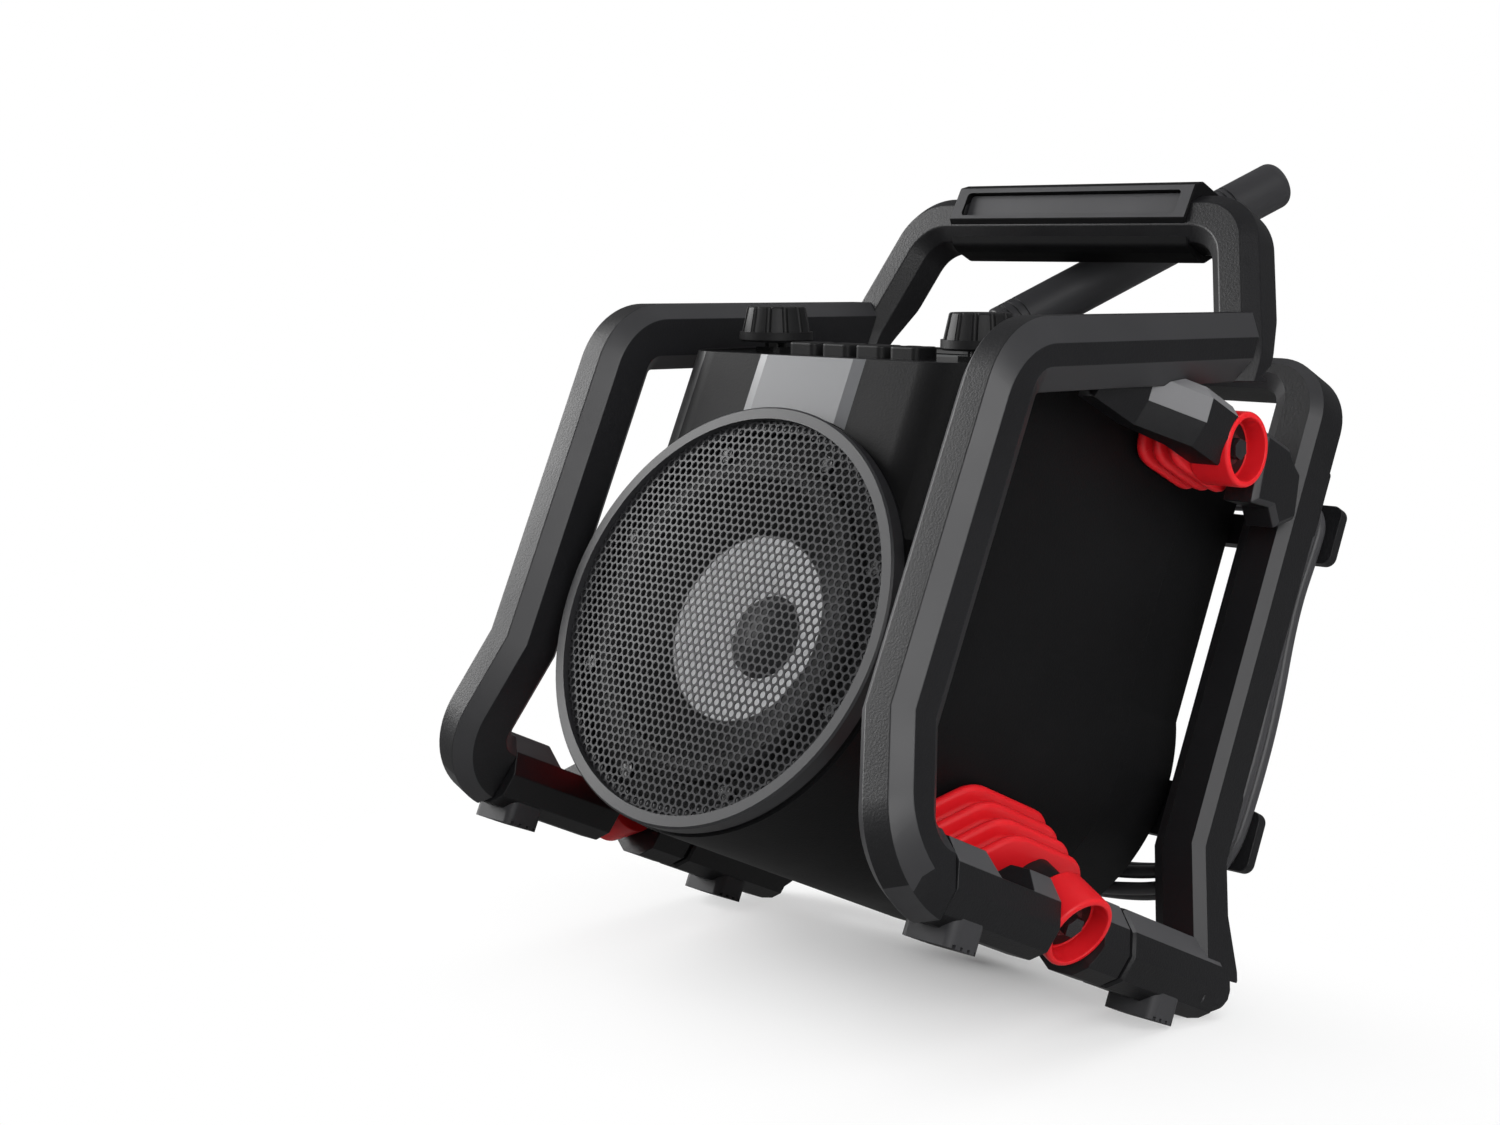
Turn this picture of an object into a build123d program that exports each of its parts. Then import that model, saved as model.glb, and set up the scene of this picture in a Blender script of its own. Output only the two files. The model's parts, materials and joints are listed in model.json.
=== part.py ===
"""Jobsite radio: a speaker housing hung on rubber mounts inside a roll cage.

The cage is made of bevelled bars: two side frames with sloping top rails, a
carrying handle, and an upright rear frame with cord hooks and heels.
+Z is up, the loudspeaker faces -Y, and the origin lies under the middle of
the radio at the level of its rubber feet. All sizes are in millimetres.
"""
import os
from math import asin, cos, radians, sin, sqrt, tan

from build123d import *

os.makedirs("parts", exist_ok=True)

# ---- overall places ---------------------------------------------------------
fit_gap = 0.3                # between pieces that must not touch
running_gap = 0.1            # round shafts and pins

# ---- cage bars --------------------------------------------------------------
bar_width = 26.2             # across a side frame's bar, in X
bar_depth = 31.1             # front to back of a post
bar_bevel = 6.9              # bevel along the long edges
wide_bevel = 10.8            # wider bevel on the outer side of openings and rails
post_x = 115.0               # middle of the posts, above the knee
knee_z = 80.0                # below this height the posts splay outwards
splay = 18.5                 # degrees
rail_slope = 24.0            # degrees, top rails rising to the rear
rail_root_z = 242.5          # top of the rail, produced to the front face
rail_depth = 31.0            # square to the rail
corner_radius = 41.0
inner_corner_radius = 3.0

# ---- handle -----------------------------------------------------------------
handle_width = 24.3          # of a leg, and the height of the cross bar
handle_depth = 28.0
handle_bevel = 6.4
handle_setback = 163.0       # front of the handle behind the front of the cage
handle_top_z = 376.5
leg_x = 111.0                # middle of a leg at leg_z
leg_z = 310.0
leg_lean = 18.3              # degrees, legs leaning inwards
handle_knee_z = 298.0
handle_corner_radius = 32.0
handle_inner_radius = 14.0
elbow = ((0.0, 47.0), (8.0, 14.0), (10.0, 6.0), (12.0, -2.0), (17.0, -9.0))
                             # rear of a leg: in from the rear face, above handle_knee_z
grip_length = 143.0
plate_margin = 7.0           # grip beyond the plate's ends
grip_wall = 3.3
grip_front_wall = 2.2
plate_length = grip_length - 2 * plate_margin
plate_height = 12.6
plate_thickness = 1.2

# ---- rear frame -------------------------------------------------------------
rear_setback = 225.8         # front of the rear frame behind the front of the cage
rear_depth = 31.0
rear_front_bevel = 4.6       # narrower bevel on the side towards the housing
rear_top_z = 320.0
rear_bar_height = 16.0
rear_corner_radius = 30.0
rear_inner_radius = 8.0
crossbar_depth = 7.0
upper_crossbar_z = (231.0, 246.0)
lower_crossbar_z = (85.5, 112.0)
heel_width = 24.0
heel_z = (28.0, 33.0, 56.0)  # low end of the tip, high end of the tip, top
heel_undercut = 17.5         # raised underside of the frame's rear corner

# ---- lower rails: front block, middle block, rear rail ----------------------
rail_bottom_z = 6.3
rail_top_z = 41.0
rail_top_width = 10.0
rail_width = 32.5
rail_middle_x = 132.5
rail_bottom_width = 12.0
rail_shoulder = 8.5          # height of the upper bevels
rail_chine = 5.0             # height of the lower bevels
foot_seam = 35.8             # end of the post's foot behind the front of the cage
seam_gap = 0.6
front_block_end = 109.0      # the lower rail's joints, behind the front of the cage
middle_block_start = 140.0
middle_block_end = 163.6
rear_rail_start = 166.4
block_notch = (62.0, 93.0)
block_notch_depth = 8.5
block_notch_rake = 25.0      # degrees

# ---- loudspeaker ------------------------------------------------------------
speaker_z = 108.2
baffle_setback = 13.8        # bezel ring behind the front of the cage
bezel_radius = 94.6
bezel_depth = 8.0
bezel_bevel = 0.9
collar_radius = 93.8
mesh_radius = 89.0
mesh_setback = 2.6
mesh_thickness = 1.2
mesh_rim = 4.0
mesh_pitch = 13.0
mesh_hole = 5.6
driver_radius = 86.0
driver_flange = 2.5
driver_setback = 9.0
surround_width = 15.0
cone_neck_radius = 19.0
cone_depth = 26.0
cone_wall = 1.2
dust_cap_height = 6.0
basket_depth = 50.0
magnet_radius = 42.0
magnet_depth = 20.0
driver_screw_count = 8
driver_screw_radius = 3.5

# ---- housing ----------------------------------------------------------------
body_setback = 10.6          # housing front face behind the bezel's front face
body_radius = 95.5           # lower half, round about the loudspeaker's axis
body_half_width = 90.5       # upper half
body_wall = 3.0
body_front_z = 230.7         # top of the housing at its front
panel_slope = 24.2           # degrees
body_crest = 128.0           # behind the bezel's front face
body_crest_flat = 40.0
body_back_slope = 18.0       # degrees
body_seam = 182.0            # parting line of the two shells
body_end = 234.0
rear_draft = 3.0             # degrees
body_corner_radius = 30.0    # upright front corners
body_rim_bevel = 2.0
strip_width = 51.4
strip_bevel_width = 5.8
strip_height = 1.6
panel_recess = 3.0           # control panel below the housing's rim
panel_thickness = 2.5
panel_start = 6.0            # along the slope from the housing's front edge
panel_length = 116.0
panel_width = 166.0
panel_corner_radius = 12.0

# ---- controls ---------------------------------------------------------------
knob_x = 61.3
knob_up = 40.5               # along the slope
knob_radius = 17.25
knob_top_radius = 13.6
knob_lift = 3.9              # above the housing's rim
knob_height = 16.3
knob_skirt = 4.6
flute_count = 12
flute_radius = 1.4
shaft_radius = 3.0
knob_base_width = 15.4
knob_base_lift = 1.4
collar_lift = 3.4
collar_nut_radius = 5.2
button_count = 4
button_pitch = 20.3
button_width = 16.5
button_length = 15.5
button_up = 32.5
button_lift = 4.8            # above the housing's rim
button_corner = 3.0
button_travel = 1.2
button_flange = 1.4
dish_radius = 24.0
dish_depth = 1.2
window_width = 68.0
window_length = 28.0
window_up = 70.0
board_drop = 12.0            # circuit board under the panel
board_thickness = 1.6
board_margin = 13.7          # board beyond the knobs' axes
board_width = 2 * (knob_x + board_margin)
board_length = 84.0

# ---- aerial -----------------------------------------------------------------
aerial_x = -35.0
aerial_setback = 153.0       # behind the bezel's front face
aerial_lift = 12.0           # pivot above the housing's crest
aerial_radius = 12.0
aerial_length = 186.0
aerial_bearing = 39.3        # degrees from +Y towards +X
aerial_rise = 46.6
sleeve_start = 14.0
base_ring_count = 3
tip_ring_count = 2
tip_ring_setback = 33.0      # from the tip
tip_ring_pitch = 3.0
ring_pitch = 4.2
ring_width = 1.2
ring_depth = 0.8
turret_radius = 15.0
turret_height = 5.0
fork_gap = 10.0
fork_radius = 6.0
aerial_pin_radius = 2.5

# ---- rubber mounts ----------------------------------------------------------
lower_cup_x = 147.0
lower_cup_z = 23.0
lower_mount_tilt = 25.8      # degrees, the mounts' axes falling outwards
upper_cup_x = 134.5
upper_cup_z = 251.7
lower_mount_setback = 126.0  # behind the front of the cage
upper_mount_setback = 168.8
cup_radius = 17.0
cup_wall = 2.8
cup_depth = 20.0
cup_recess = 10.0            # from the rim to the floor
bolt_radius = 5.0
bolt_height = 5.0
core_radius = 12.0
fin_thickness = 5.0
lower_fin_count = 4
lower_fin_start = 38.3       # outermost fin, inwards from the cup's rim
lower_fin_pitch = 10.2
lower_fin = (94.0, 34.0)     # outermost fin's width and height
lower_fin_growth = (1.0, 1.2)  # each fin larger than its outer neighbour, on each side
lower_fin_cuts = ((22.0, 24.0), (14.0, 9.0))  # upper and lower corners, across and down
upper_fin_count = 3
upper_fin_start = 23.0
upper_fin_pitch = 8.4
upper_fin = (52.0, 32.0)
upper_fin_growth = (0.0, 0.0)
upper_fin_cuts = ((6.5, 6.5), (6.5, 6.5))
lower_core_end = 78.0

# ---- arms, lugs, feet, hooks ------------------------------------------------
arm_setbacks = (77.0, 109.0, 133.0, 156.0)  # start, bends and end, behind the front
arm_outer_x = (118.5, 118.5, 134.0, 134.0)
arm_inner_x = (106.0, 106.0, 115.5, 115.5)
arm_z = (239.0, 250.5, 262.0, 267.0)  # underside, waist, shoulder and top
arm_slopes = (4.0, 5.0)      # how far the underside and the top draw in
lug_width = 17.0
lug_face_x = 133.5           # outer face
lug_outline = ((181.5, 266.0), (204.0, 266.3), (212.0, 261.5), (218.5, 259.0),
               (224.0, 238.0), (210.0, 229.0), (202.0, 236.0), (187.0, 233.0))
lug_bevel = 2.5
lug_tongue_z = (240.0, 257.0)
foot_x = 133.0
foot_width = 26.0
foot_setbacks = (45.0, 195.5)
foot_length = 20.0
foot_corner_radius = 4.0
foot_groove = 1.6
foot_groove_pitch = 4.7
foot_groove_count = 4
hook_x = 102.7
strap_shift = 6.8            # straps and flanges stand further out than the arms
strap_rises = (9.9, 2.3)     # upper and lower strap above its arm
strap_width = 24.0
strap_height = 34.8
strap_depth = 5.5
arm_width = 8.0
arm_height = 12.0
flange_width = 28.0
flange_shift = 7.3
flange_height = 29.5
flange_depth = 7.0
flange_edge = 1.5            # rounding of a flange's rear edge
upper_hook_z = 248.2
lower_hook_z = 94.7

# ---- cord -------------------------------------------------------------------
cord_diameter = 6.5
winding_width = 13.0
winding_depth = 13.6
winding_sag = 38.0           # below the lower hooks' arms
sag_x = 70.0
sag_bend = 40.0              # outline radii of the winding
winding_bend = 20.0
gland_x = -34.0
gland_radius = 8.0
plug_x = -44.0
plug_length = 40.0
plug_radius = 13.0
tail_length = 44.0


def save(node, label):
    """Name a finished piece and write it to its own STEP file."""
    node.part.label = label
    export_step(node.part, f"parts/{label}.step")


def save_pair(node, label):
    """Write a right-hand piece and its left-hand twin."""
    save(node, f"{label}_right")
    with BuildPart() as twin:
        mirror(node.part, about=Plane.YZ)
    save(twin, f"{label}_left")


def save_both(nodes, label):
    """Write several right-hand pieces and their left-hand twins as one node."""
    with BuildPart() as group:
        for node in nodes:
            add(node.part)
            mirror(node.part, about=Plane.YZ)
    save(group, label)


def closed_outline(plane, points, radii):
    """A flat outline of straight runs joined by arcs; zero leaves a corner sharp."""
    with BuildSketch(plane) as drawn:
        with BuildLine():
            FilletPolyline(*points, radius=radii, close=True)
        make_face()
    return drawn.sketch


def cut_rectangle(width, height, cut):
    """A rectangle with its corners cut off, drawn in the current sketch."""
    drawn = Rectangle(width, height)
    chamfer(drawn.vertices(), cut)


def bevelled_bar(plane, outline, width, bevel, low_insets, high_insets, high_bevel=None):
    """A bar centred on a plane, its outline drawn by outline(plane, *insets).

    The outline is inset at both faces, by a different amount along each run,
    and the slopes between them are the bar's long bevels. They are equally
    deep at both faces unless high_bevel is given.
    """
    high_bevel = high_bevel or bevel
    full = [0 for _ in low_insets]
    low = outline(plane.offset(-width / 2 + bevel), *full)
    high = outline(plane.offset(width / 2 - high_bevel), *full)
    with BuildPart() as bar:
        extrude(low, amount=width - bevel - high_bevel)
        loft([outline(plane.offset(-width / 2), *low_insets), low], ruled=True)
        loft([high, outline(plane.offset(width / 2), *high_insets)], ruled=True)
    return bar


# ---- derived places ---------------------------------------------------------
hook_reach = strap_depth + 2 * fit_gap + winding_depth + flange_depth
overall_depth = rear_setback + rear_depth + hook_reach
front_y = -overall_depth / 2
rear_y = overall_depth / 2
rail_rise = tan(radians(rail_slope))
rail_drop = rail_depth / cos(radians(rail_slope))
splay_angle = radians(splay)
leg_run = tan(radians(leg_lean))
leg_half = handle_width / 2 / cos(radians(leg_lean))
handle_front = front_y + handle_setback
handle_rear = handle_front + handle_depth
rear_front = front_y + rear_setback
rear_face = rear_front + rear_depth
baffle_y = front_y + baffle_setback
body_front = baffle_y + body_setback
panel_angle = radians(panel_slope)
rim_plane = Plane(origin=(0, body_front, body_front_z), x_dir=(1, 0, 0),
                  z_dir=(0, -sin(panel_angle), cos(panel_angle)))


# ---- side frames ------------------------------------------------------------
def upper_outline(plane, outer, top, end, opening):
    """Post and top rail, seen from the side, from just below the knee."""
    front = front_y + outer
    back = front_y + bar_depth - opening
    stop = handle_front - end
    rise = rail_root_z - front_y * rail_rise

    def top_z(y):
        return rise + y * rail_rise - top / cos(radians(rail_slope))

    def under_z(y):
        return rise + y * rail_rise - rail_drop + opening / cos(radians(rail_slope))

    low = knee_z - bar_width
    return closed_outline(
        plane,
        [(front, low), (front, top_z(front)), (stop, top_z(stop)), (stop, under_z(stop)),
         (back, under_z(back)), (back, low)],
        [0, corner_radius - outer, 0, 0, inner_corner_radius + opening, 0],
    )


def foot_outline(plane, outer, bottom, end, opening):
    """The splayed foot of a post, seen square to its own plane, down from the knee."""
    front = front_y + outer
    back = front_y + bar_depth - opening
    seam = front_y + foot_seam - end
    down = -(knee_z - rail_bottom_z) / cos(splay_angle) + bottom
    ledge = -(knee_z - rail_top_z) / cos(splay_angle) - opening
    return closed_outline(
        plane,
        [(front, bar_width), (front, down), (seam + corner_radius, down),
         (seam + corner_radius, ledge), (back, ledge), (back, bar_width)],
        [0, corner_radius - outer, 0, 0, inner_corner_radius + opening, 0],
    )


post_plane = Plane(origin=(post_x, 0, 0), x_dir=(0, 1, 0), z_dir=(1, 0, 0))
knee = (post_x, 0, knee_z)
splay_plane = Plane(origin=knee, x_dir=(0, 1, 0), z_dir=(cos(splay_angle), 0, sin(splay_angle)))
mitre_plane = Plane(origin=knee, x_dir=(0, 1, 0),
                    z_dir=(sin(splay_angle / 2) * -1, 0, cos(splay_angle / 2)))

upper_bar = bevelled_bar(post_plane, upper_outline, bar_width, bar_bevel,
                         (bar_bevel, bar_bevel, 0, bar_bevel),
                         (bar_bevel, wide_bevel, 0, wide_bevel))
with BuildPart() as upper_half:
    add(upper_bar.part)
    split(bisect_by=mitre_plane, keep=Keep.TOP)

foot_bar = bevelled_bar(splay_plane, foot_outline, bar_width, bar_bevel,
                        (bar_bevel, bar_bevel, 0, bar_bevel),
                        (bar_bevel, wide_bevel, 0, wide_bevel))
with BuildPart() as foot_half:
    add(foot_bar.part)
    split(bisect_by=mitre_plane, keep=Keep.BOTTOM)
    split(bisect_by=Plane.XZ.offset(-(front_y + foot_seam)), keep=Keep.TOP)

with BuildPart() as side_frame:
    add(upper_half.part)
    add(foot_half.part)
save_pair(side_frame, "side_frame")


# ---- handle: bow, grip and bare plate ---------------------------------------
def bow_outline(plane, outer, inner):
    """The handle seen from the front: two leaning legs and a cross bar."""
    lean = radians(leg_lean)
    out_x = leg_half - outer / cos(lean)
    in_x = leg_half - inner / cos(lean)
    top = handle_top_z - outer
    under = handle_top_z - handle_width + inner
    low = handle_knee_z - 2 * rail_drop

    def leg(z):
        return leg_x - (z - leg_z) * leg_run

    knee_x = leg(handle_knee_z)
    right = [(knee_x + out_x, low), (knee_x + out_x, handle_knee_z), (leg(top) + out_x, top)]
    inside = [(leg(under) - in_x, under), (knee_x - in_x, handle_knee_z), (knee_x - in_x, low)]
    turn = handle_corner_radius - outer
    bend = handle_inner_radius + inner
    return closed_outline(
        plane,
        right + [(-x, z) for x, z in reversed(right)]
        + [(-x, z) for x, z in reversed(inside)] + inside,
        [0, turn, turn, turn, turn, 0, 0, turn, bend, bend, turn, 0],
    )


bow_plane = Plane(origin=(0, handle_front + handle_depth / 2, 0), x_dir=(1, 0, 0), z_dir=(0, -1, 0))
bow_bar = bevelled_bar(bow_plane, bow_outline, handle_depth, handle_bevel,
                       (handle_bevel, handle_bevel), (handle_bevel, handle_bevel))
under_rail = Plane(origin=(0, front_y, rail_root_z - rail_drop), x_dir=(1, 0, 0),
                   z_dir=(0, -sin(radians(rail_slope)), cos(radians(rail_slope))))
plate_z = handle_top_z - handle_width / 2 + 5.5
pocket_plane = Plane(origin=(0, handle_front - grip_front_wall, plate_z), x_dir=(1, 0, 0), z_dir=(0, -1, 0))
with BuildPart() as plate_pocket:
    with BuildSketch(pocket_plane.offset(-2 * grip_front_wall - plate_thickness)):
        RectangleRounded(plate_length + 2 * running_gap, plate_height + 2 * running_gap, 2)
    extrude(amount=3 * grip_front_wall + plate_thickness)
with BuildPart() as handle_bow:
    add(bow_bar.part)
    split(bisect_by=under_rail, keep=Keep.TOP)
    with BuildSketch(Plane.YZ.offset(-handle_width - leg_x)):
        with BuildLine():
            Polyline([(handle_rear - inwards, handle_knee_z + above) for inwards, above in elbow]
                     + [(handle_rear + 1, handle_knee_z + elbow[-1][1]),
                        (handle_rear + 1, handle_knee_z + elbow[0][1])], close=True)
        make_face()
    extrude(amount=2 * (handle_width + leg_x), mode=Mode.SUBTRACT)
    add(plate_pocket.part, mode=Mode.SUBTRACT)
save(handle_bow, "handle_bow")

grip_front = handle_front - grip_front_wall
grip_rear = handle_rear + grip_wall
grip_top = handle_top_z + 2 * grip_wall
grip_bottom = handle_top_z - handle_width - grip_wall
lip_z = grip_bottom + 0.36 * (grip_top - grip_bottom)
with BuildPart() as handle_grip:
    extrude(closed_outline(
        Plane.YZ.offset(-grip_length / 2),
        [(grip_front + 7, grip_top), (grip_front + 1.5, grip_top - 4), (grip_front, lip_z),
         (grip_front + 5.6, lip_z - 5.2), (grip_front + 8, grip_bottom + 1.5),
         (grip_front + 13, grip_bottom), (grip_rear - 8, grip_bottom),
         (grip_rear, grip_bottom + 8), (grip_rear, grip_top - 8), (grip_rear - 8, grip_top)],
        [3, 1.5, 0.8, 1.5, 3, 3, 4, 4, 4, 4],
    ), amount=grip_length)
    chamfer(faces().filter_by(Axis.X).edges(), 0.6)
    add(bow_bar.part, mode=Mode.SUBTRACT)
    add(plate_pocket.part, mode=Mode.SUBTRACT)
save(handle_grip, "handle_grip")

with BuildPart() as grip_plate:
    with BuildSketch(pocket_plane.offset(-2 * grip_front_wall - plate_thickness)):
        RectangleRounded(plate_length, plate_height, 2)
    extrude(amount=plate_thickness)
save(grip_plate, "grip_plate")


# ---- rear frame -------------------------------------------------------------
def arch_outline(plane, outer, inner):
    """The rear frame seen from behind: two splayed posts under a top bar."""
    half = bar_width / 2
    slope = tan(splay_angle)
    out_half = half - outer
    in_half = half - inner
    shift = half / cos(splay_angle) - half
    top = rear_top_z - outer
    under = rear_top_z - rear_bar_height + inner
    waist = (rail_bottom_z + rail_top_z) / 2
    waist_x = post_x + (knee_z - waist) * slope
    base = rail_bottom_z + outer
    right = [(rail_middle_x + rail_bottom_width / 2, base),
             (waist_x + out_half + shift, waist - rail_shoulder),
             (waist_x + out_half + shift, waist),
             (post_x + out_half, knee_z + slope * half / 2), (post_x + out_half, top)]
    inside = [(post_x - in_half, under), (post_x - in_half, knee_z - slope * half / 2),
              (waist_x - in_half - shift, waist), (rail_middle_x - rail_bottom_width / 2, base)]
    turn = rear_corner_radius - outer
    bend = rear_inner_radius + inner
    return closed_outline(
        plane,
        right + [(-x, z) for x, z in reversed(right)]
        + [(-x, z) for x, z in reversed(inside)] + inside,
        [0, 3, 3, 0, turn, turn, 0, 3, 3, 0, 0, 3, 0, bend, bend, 0, 3, 0],
    )


arch_plane = Plane(origin=(0, rear_front + rear_depth / 2, 0), x_dir=(1, 0, 0), z_dir=(0, -1, 0))
arch_bar = bevelled_bar(arch_plane, arch_outline, rear_depth, bar_bevel,
                        (bar_bevel, bar_bevel), (rear_front_bevel, bar_bevel), rear_front_bevel)
with BuildPart() as heel:
    extrude(closed_outline(
        Plane.YZ.offset(rail_middle_x + bar_width / 2 - heel_width),
        [(rear_face - 2 * bar_bevel, heel_z[0]), (rear_face, heel_z[0]), (rear_face, heel_z[1]),
         (rear_face - bar_bevel, heel_z[2]), (rear_face - 2 * bar_bevel, heel_z[2])],
        [0, 1.5, 3, 0, 0],
    ), amount=2 * heel_width)
    extrude(arch_outline(arch_plane.offset(-rear_depth), 0, 0), amount=2 * rear_depth,
            mode=Mode.INTERSECT)
with BuildPart() as rear_frame:
    add(arch_bar.part)
    for low, high in (upper_crossbar_z, lower_crossbar_z):
        with BuildSketch(Plane.XZ.offset(-rear_face)):
            with Locations((0, (low + high) / 2)):
                cut_rectangle(2 * post_x - bar_width / 2, high - low, 1.5)
        extrude(amount=crossbar_depth)
    add(heel.part)
    mirror(heel.part, about=Plane.YZ)
    with BuildSketch(Plane.YZ.offset(-2 * post_x)):
        with BuildLine():
            Polyline([(rear_face - heel_undercut, 0), (rear_face - heel_undercut, rail_bottom_z),
                      (rear_face, heel_z[0]), (rear_face + 1, heel_z[0]), (rear_face + 1, 0)],
                     close=True)
        make_face()
    extrude(amount=4 * post_x, mode=Mode.SUBTRACT)
save(rear_frame, "rear_frame")


# ---- lower rails ------------------------------------------------------------
def rail_section(plane):
    """The ten-sided section of a lower rail, on a plane square to Y."""
    side_low = rail_bottom_z + rail_chine
    side_high = rail_top_z - rail_shoulder
    middle = (side_low + side_high) / 2
    lean = 1.5
    with BuildSketch(plane) as section:
        with BuildLine():
            Polyline([
                (rail_middle_x - rail_bottom_width / 2, rail_bottom_z),
                (rail_middle_x + rail_bottom_width / 2, rail_bottom_z),
                (rail_middle_x + rail_width / 2 - 2 * lean, side_low),
                (rail_middle_x + rail_width / 2, middle),
                (rail_middle_x + rail_width / 2 - 2 * lean, side_high),
                (rail_middle_x + rail_top_width / 2, rail_top_z),
                (rail_middle_x - rail_top_width / 2, rail_top_z),
                (rail_middle_x - rail_width / 2 + 2 * lean, side_high),
                (rail_middle_x - rail_width / 2, middle),
                (rail_middle_x - rail_width / 2 + 2 * lean, side_low),
            ], close=True)
        make_face()
    return section.sketch


def rail_piece(start, end):
    """A length of lower rail between two distances behind the front of the cage."""
    with BuildPart() as piece:
        extrude(rail_section(Plane.XZ.offset(-(front_y + end))), amount=end - start)
    return piece


tilt = radians(lower_mount_tilt)
lower_axis = Vector(cos(tilt), 0, -sin(tilt))
lower_rim = Plane(origin=(lower_cup_x, front_y + lower_mount_setback, lower_cup_z),
                  x_dir=(0, 1, 0), z_dir=lower_axis)
upper_rim = Plane(origin=(upper_cup_x, front_y + upper_mount_setback, upper_cup_z),
                  x_dir=(0, 1, 0), z_dir=(1, 0, 0))


def cup_bore(rim):
    """The cylinder that a mount's cup fills in its neighbours."""
    with BuildPart() as bore:
        with BuildSketch(rim.offset(-2 * rail_width)):
            Circle(cup_radius)
        extrude(amount=3 * rail_width)
    return bore


lower_bore = cup_bore(lower_rim)
upper_bore = cup_bore(upper_rim)

with BuildPart() as front_block:
    add(rail_piece(foot_seam + seam_gap, front_block_end).part)
    with BuildSketch(Plane.YZ):
        notch_start, notch_end = block_notch
        slant = block_notch_depth * tan(radians(block_notch_rake))
        with BuildLine():
            Polyline([
                (front_y + notch_start, rail_top_z), (front_y + notch_start, rail_top_z + 1),
                (front_y + notch_end, rail_top_z + 1), (front_y + notch_end, rail_top_z),
                (front_y + notch_end - slant, rail_top_z - block_notch_depth),
                (front_y + notch_start + slant, rail_top_z - block_notch_depth),
            ], close=True)
        make_face()
    extrude(amount=2 * post_x, mode=Mode.SUBTRACT)
    add(lower_bore.part, mode=Mode.SUBTRACT)
save_pair(front_block, "lower_front_block")

with BuildPart() as middle_block:
    add(rail_piece(middle_block_start, middle_block_end).part)
    chamfer(faces().sort_by(Axis.Y)[-1].edges(), 1.2)
    add(lower_bore.part, mode=Mode.SUBTRACT)
save_pair(middle_block, "lower_middle_block")

with BuildPart() as rear_rail:
    add(rail_piece(rear_rail_start, rear_setback + rear_depth / 2).part)
    chamfer(faces().sort_by(Axis.Y)[0].edges(), 1.2)
    add(rear_frame.part, mode=Mode.SUBTRACT)
save_pair(rear_rail, "lower_rear_rail")

with BuildPart() as rail_joint:
    with BuildSketch(Plane.XZ.offset(-(front_y + rear_rail_start))):
        add(rail_section(Plane.XY))
        offset(amount=-2.5, mode=Mode.REPLACE)
    extrude(amount=rear_rail_start - middle_block_end)
save_both([rail_joint], "rail_joints")


# ---- rubber mounts ----------------------------------------------------------
def mount_cup(rim):
    """A rubber cup: a tube with a floor, its rim flush with the given plane."""
    with BuildPart() as cup:
        with BuildSketch(rim.offset(-cup_depth)):
            Circle(cup_radius)
        extrude(amount=cup_depth)
        chamfer(edges().filter_by(GeomType.CIRCLE).group_by(Axis(rim.origin, rim.z_dir))[-1], 1)
        with BuildSketch(rim.offset(-cup_recess)):
            Circle(cup_radius - cup_wall)
        extrude(amount=cup_depth, mode=Mode.SUBTRACT)
    return cup


def mount_bolt(rim):
    """A flanged hexagon bolt on the cup's floor."""
    with BuildPart() as bolt:
        with BuildSketch(rim.offset(-cup_recess)):
            Circle(bolt_radius * 1.5)
        extrude(amount=1.2)
        with BuildSketch(rim.offset(1.2 - cup_recess)):
            RegularPolygon(bolt_radius, 6)
        extrude(amount=bolt_height)
    return bolt


def fin_outline(half_width, half_height, cuts):
    """A rib with cut corners; its height runs along the plane's second direction."""
    (top_cut, top_drop), (low_cut, low_rise) = cuts
    corners = [(half_width, half_height - top_drop), (half_width - top_cut, half_height),
               (top_cut - half_width, half_height), (-half_width, half_height - top_drop),
               (-half_width, low_rise - half_height), (low_cut - half_width, -half_height),
               (half_width - low_cut, -half_height), (half_width, low_rise - half_height)]
    with BuildSketch() as drawn:
        with BuildLine():
            Polyline(corners, close=True)
        make_face()
    return drawn.sketch


def mount_bellows(rim, count, start, pitch, size, growth, cuts, inner_end):
    """Rubber ribs on a core, each as large as the one outside it or larger."""
    with BuildPart() as bellows:
        with BuildSketch(rim.offset(-inner_end)):
            Circle(core_radius)
        extrude(amount=inner_end - cup_depth)
        for place in range(count):
            with BuildSketch(rim.offset(-start - place * pitch)):
                add(fin_outline(size[0] / 2 + place * growth[0], size[1] / 2 + place * growth[1], cuts))
            extrude(amount=fin_thickness / 2, both=True)
    return bellows


# ---- housing ----------------------------------------------------------------
def housing(wall, start, end):
    """A half cylinder under a box, its sides wall inside the housing's, from start to end."""
    half_width = body_half_width - wall
    radius = body_radius - wall
    crease_z = speaker_z + sqrt(radius**2 - half_width**2)
    with BuildPart() as form:
        with BuildSketch(Plane.XZ.offset(-end)):
            with BuildLine():
                Polyline((half_width, crease_z), (half_width, handle_top_z),
                         (-half_width, handle_top_z), (-half_width, crease_z))
                ThreePointArc((-half_width, crease_z), (0, speaker_z - radius),
                              (half_width, crease_z))
            make_face()
        extrude(amount=end - start)
    return form


def roof(wall):
    """All that lies above the housing's sloping top, or above its lining."""
    crest_y = baffle_y + body_crest
    crest_z = body_front_z + (crest_y - body_front) * tan(panel_angle)
    back_y = crest_y + body_crest_flat
    far = rear_face + bar_depth
    with BuildPart() as above:
        with BuildSketch(Plane.YZ.offset(-post_x)):
            with BuildLine():
                Polyline([
                    (front_y, body_front_z - (body_front - front_y) * tan(panel_angle) - wall),
                    (crest_y, crest_z - wall), (back_y, crest_z - wall),
                    (far, crest_z - (far - back_y) * tan(radians(body_back_slope)) - wall),
                    (far, 2 * handle_top_z), (front_y, 2 * handle_top_z),
                ], close=True)
            make_face()
        extrude(amount=2 * post_x)
    return above


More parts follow.
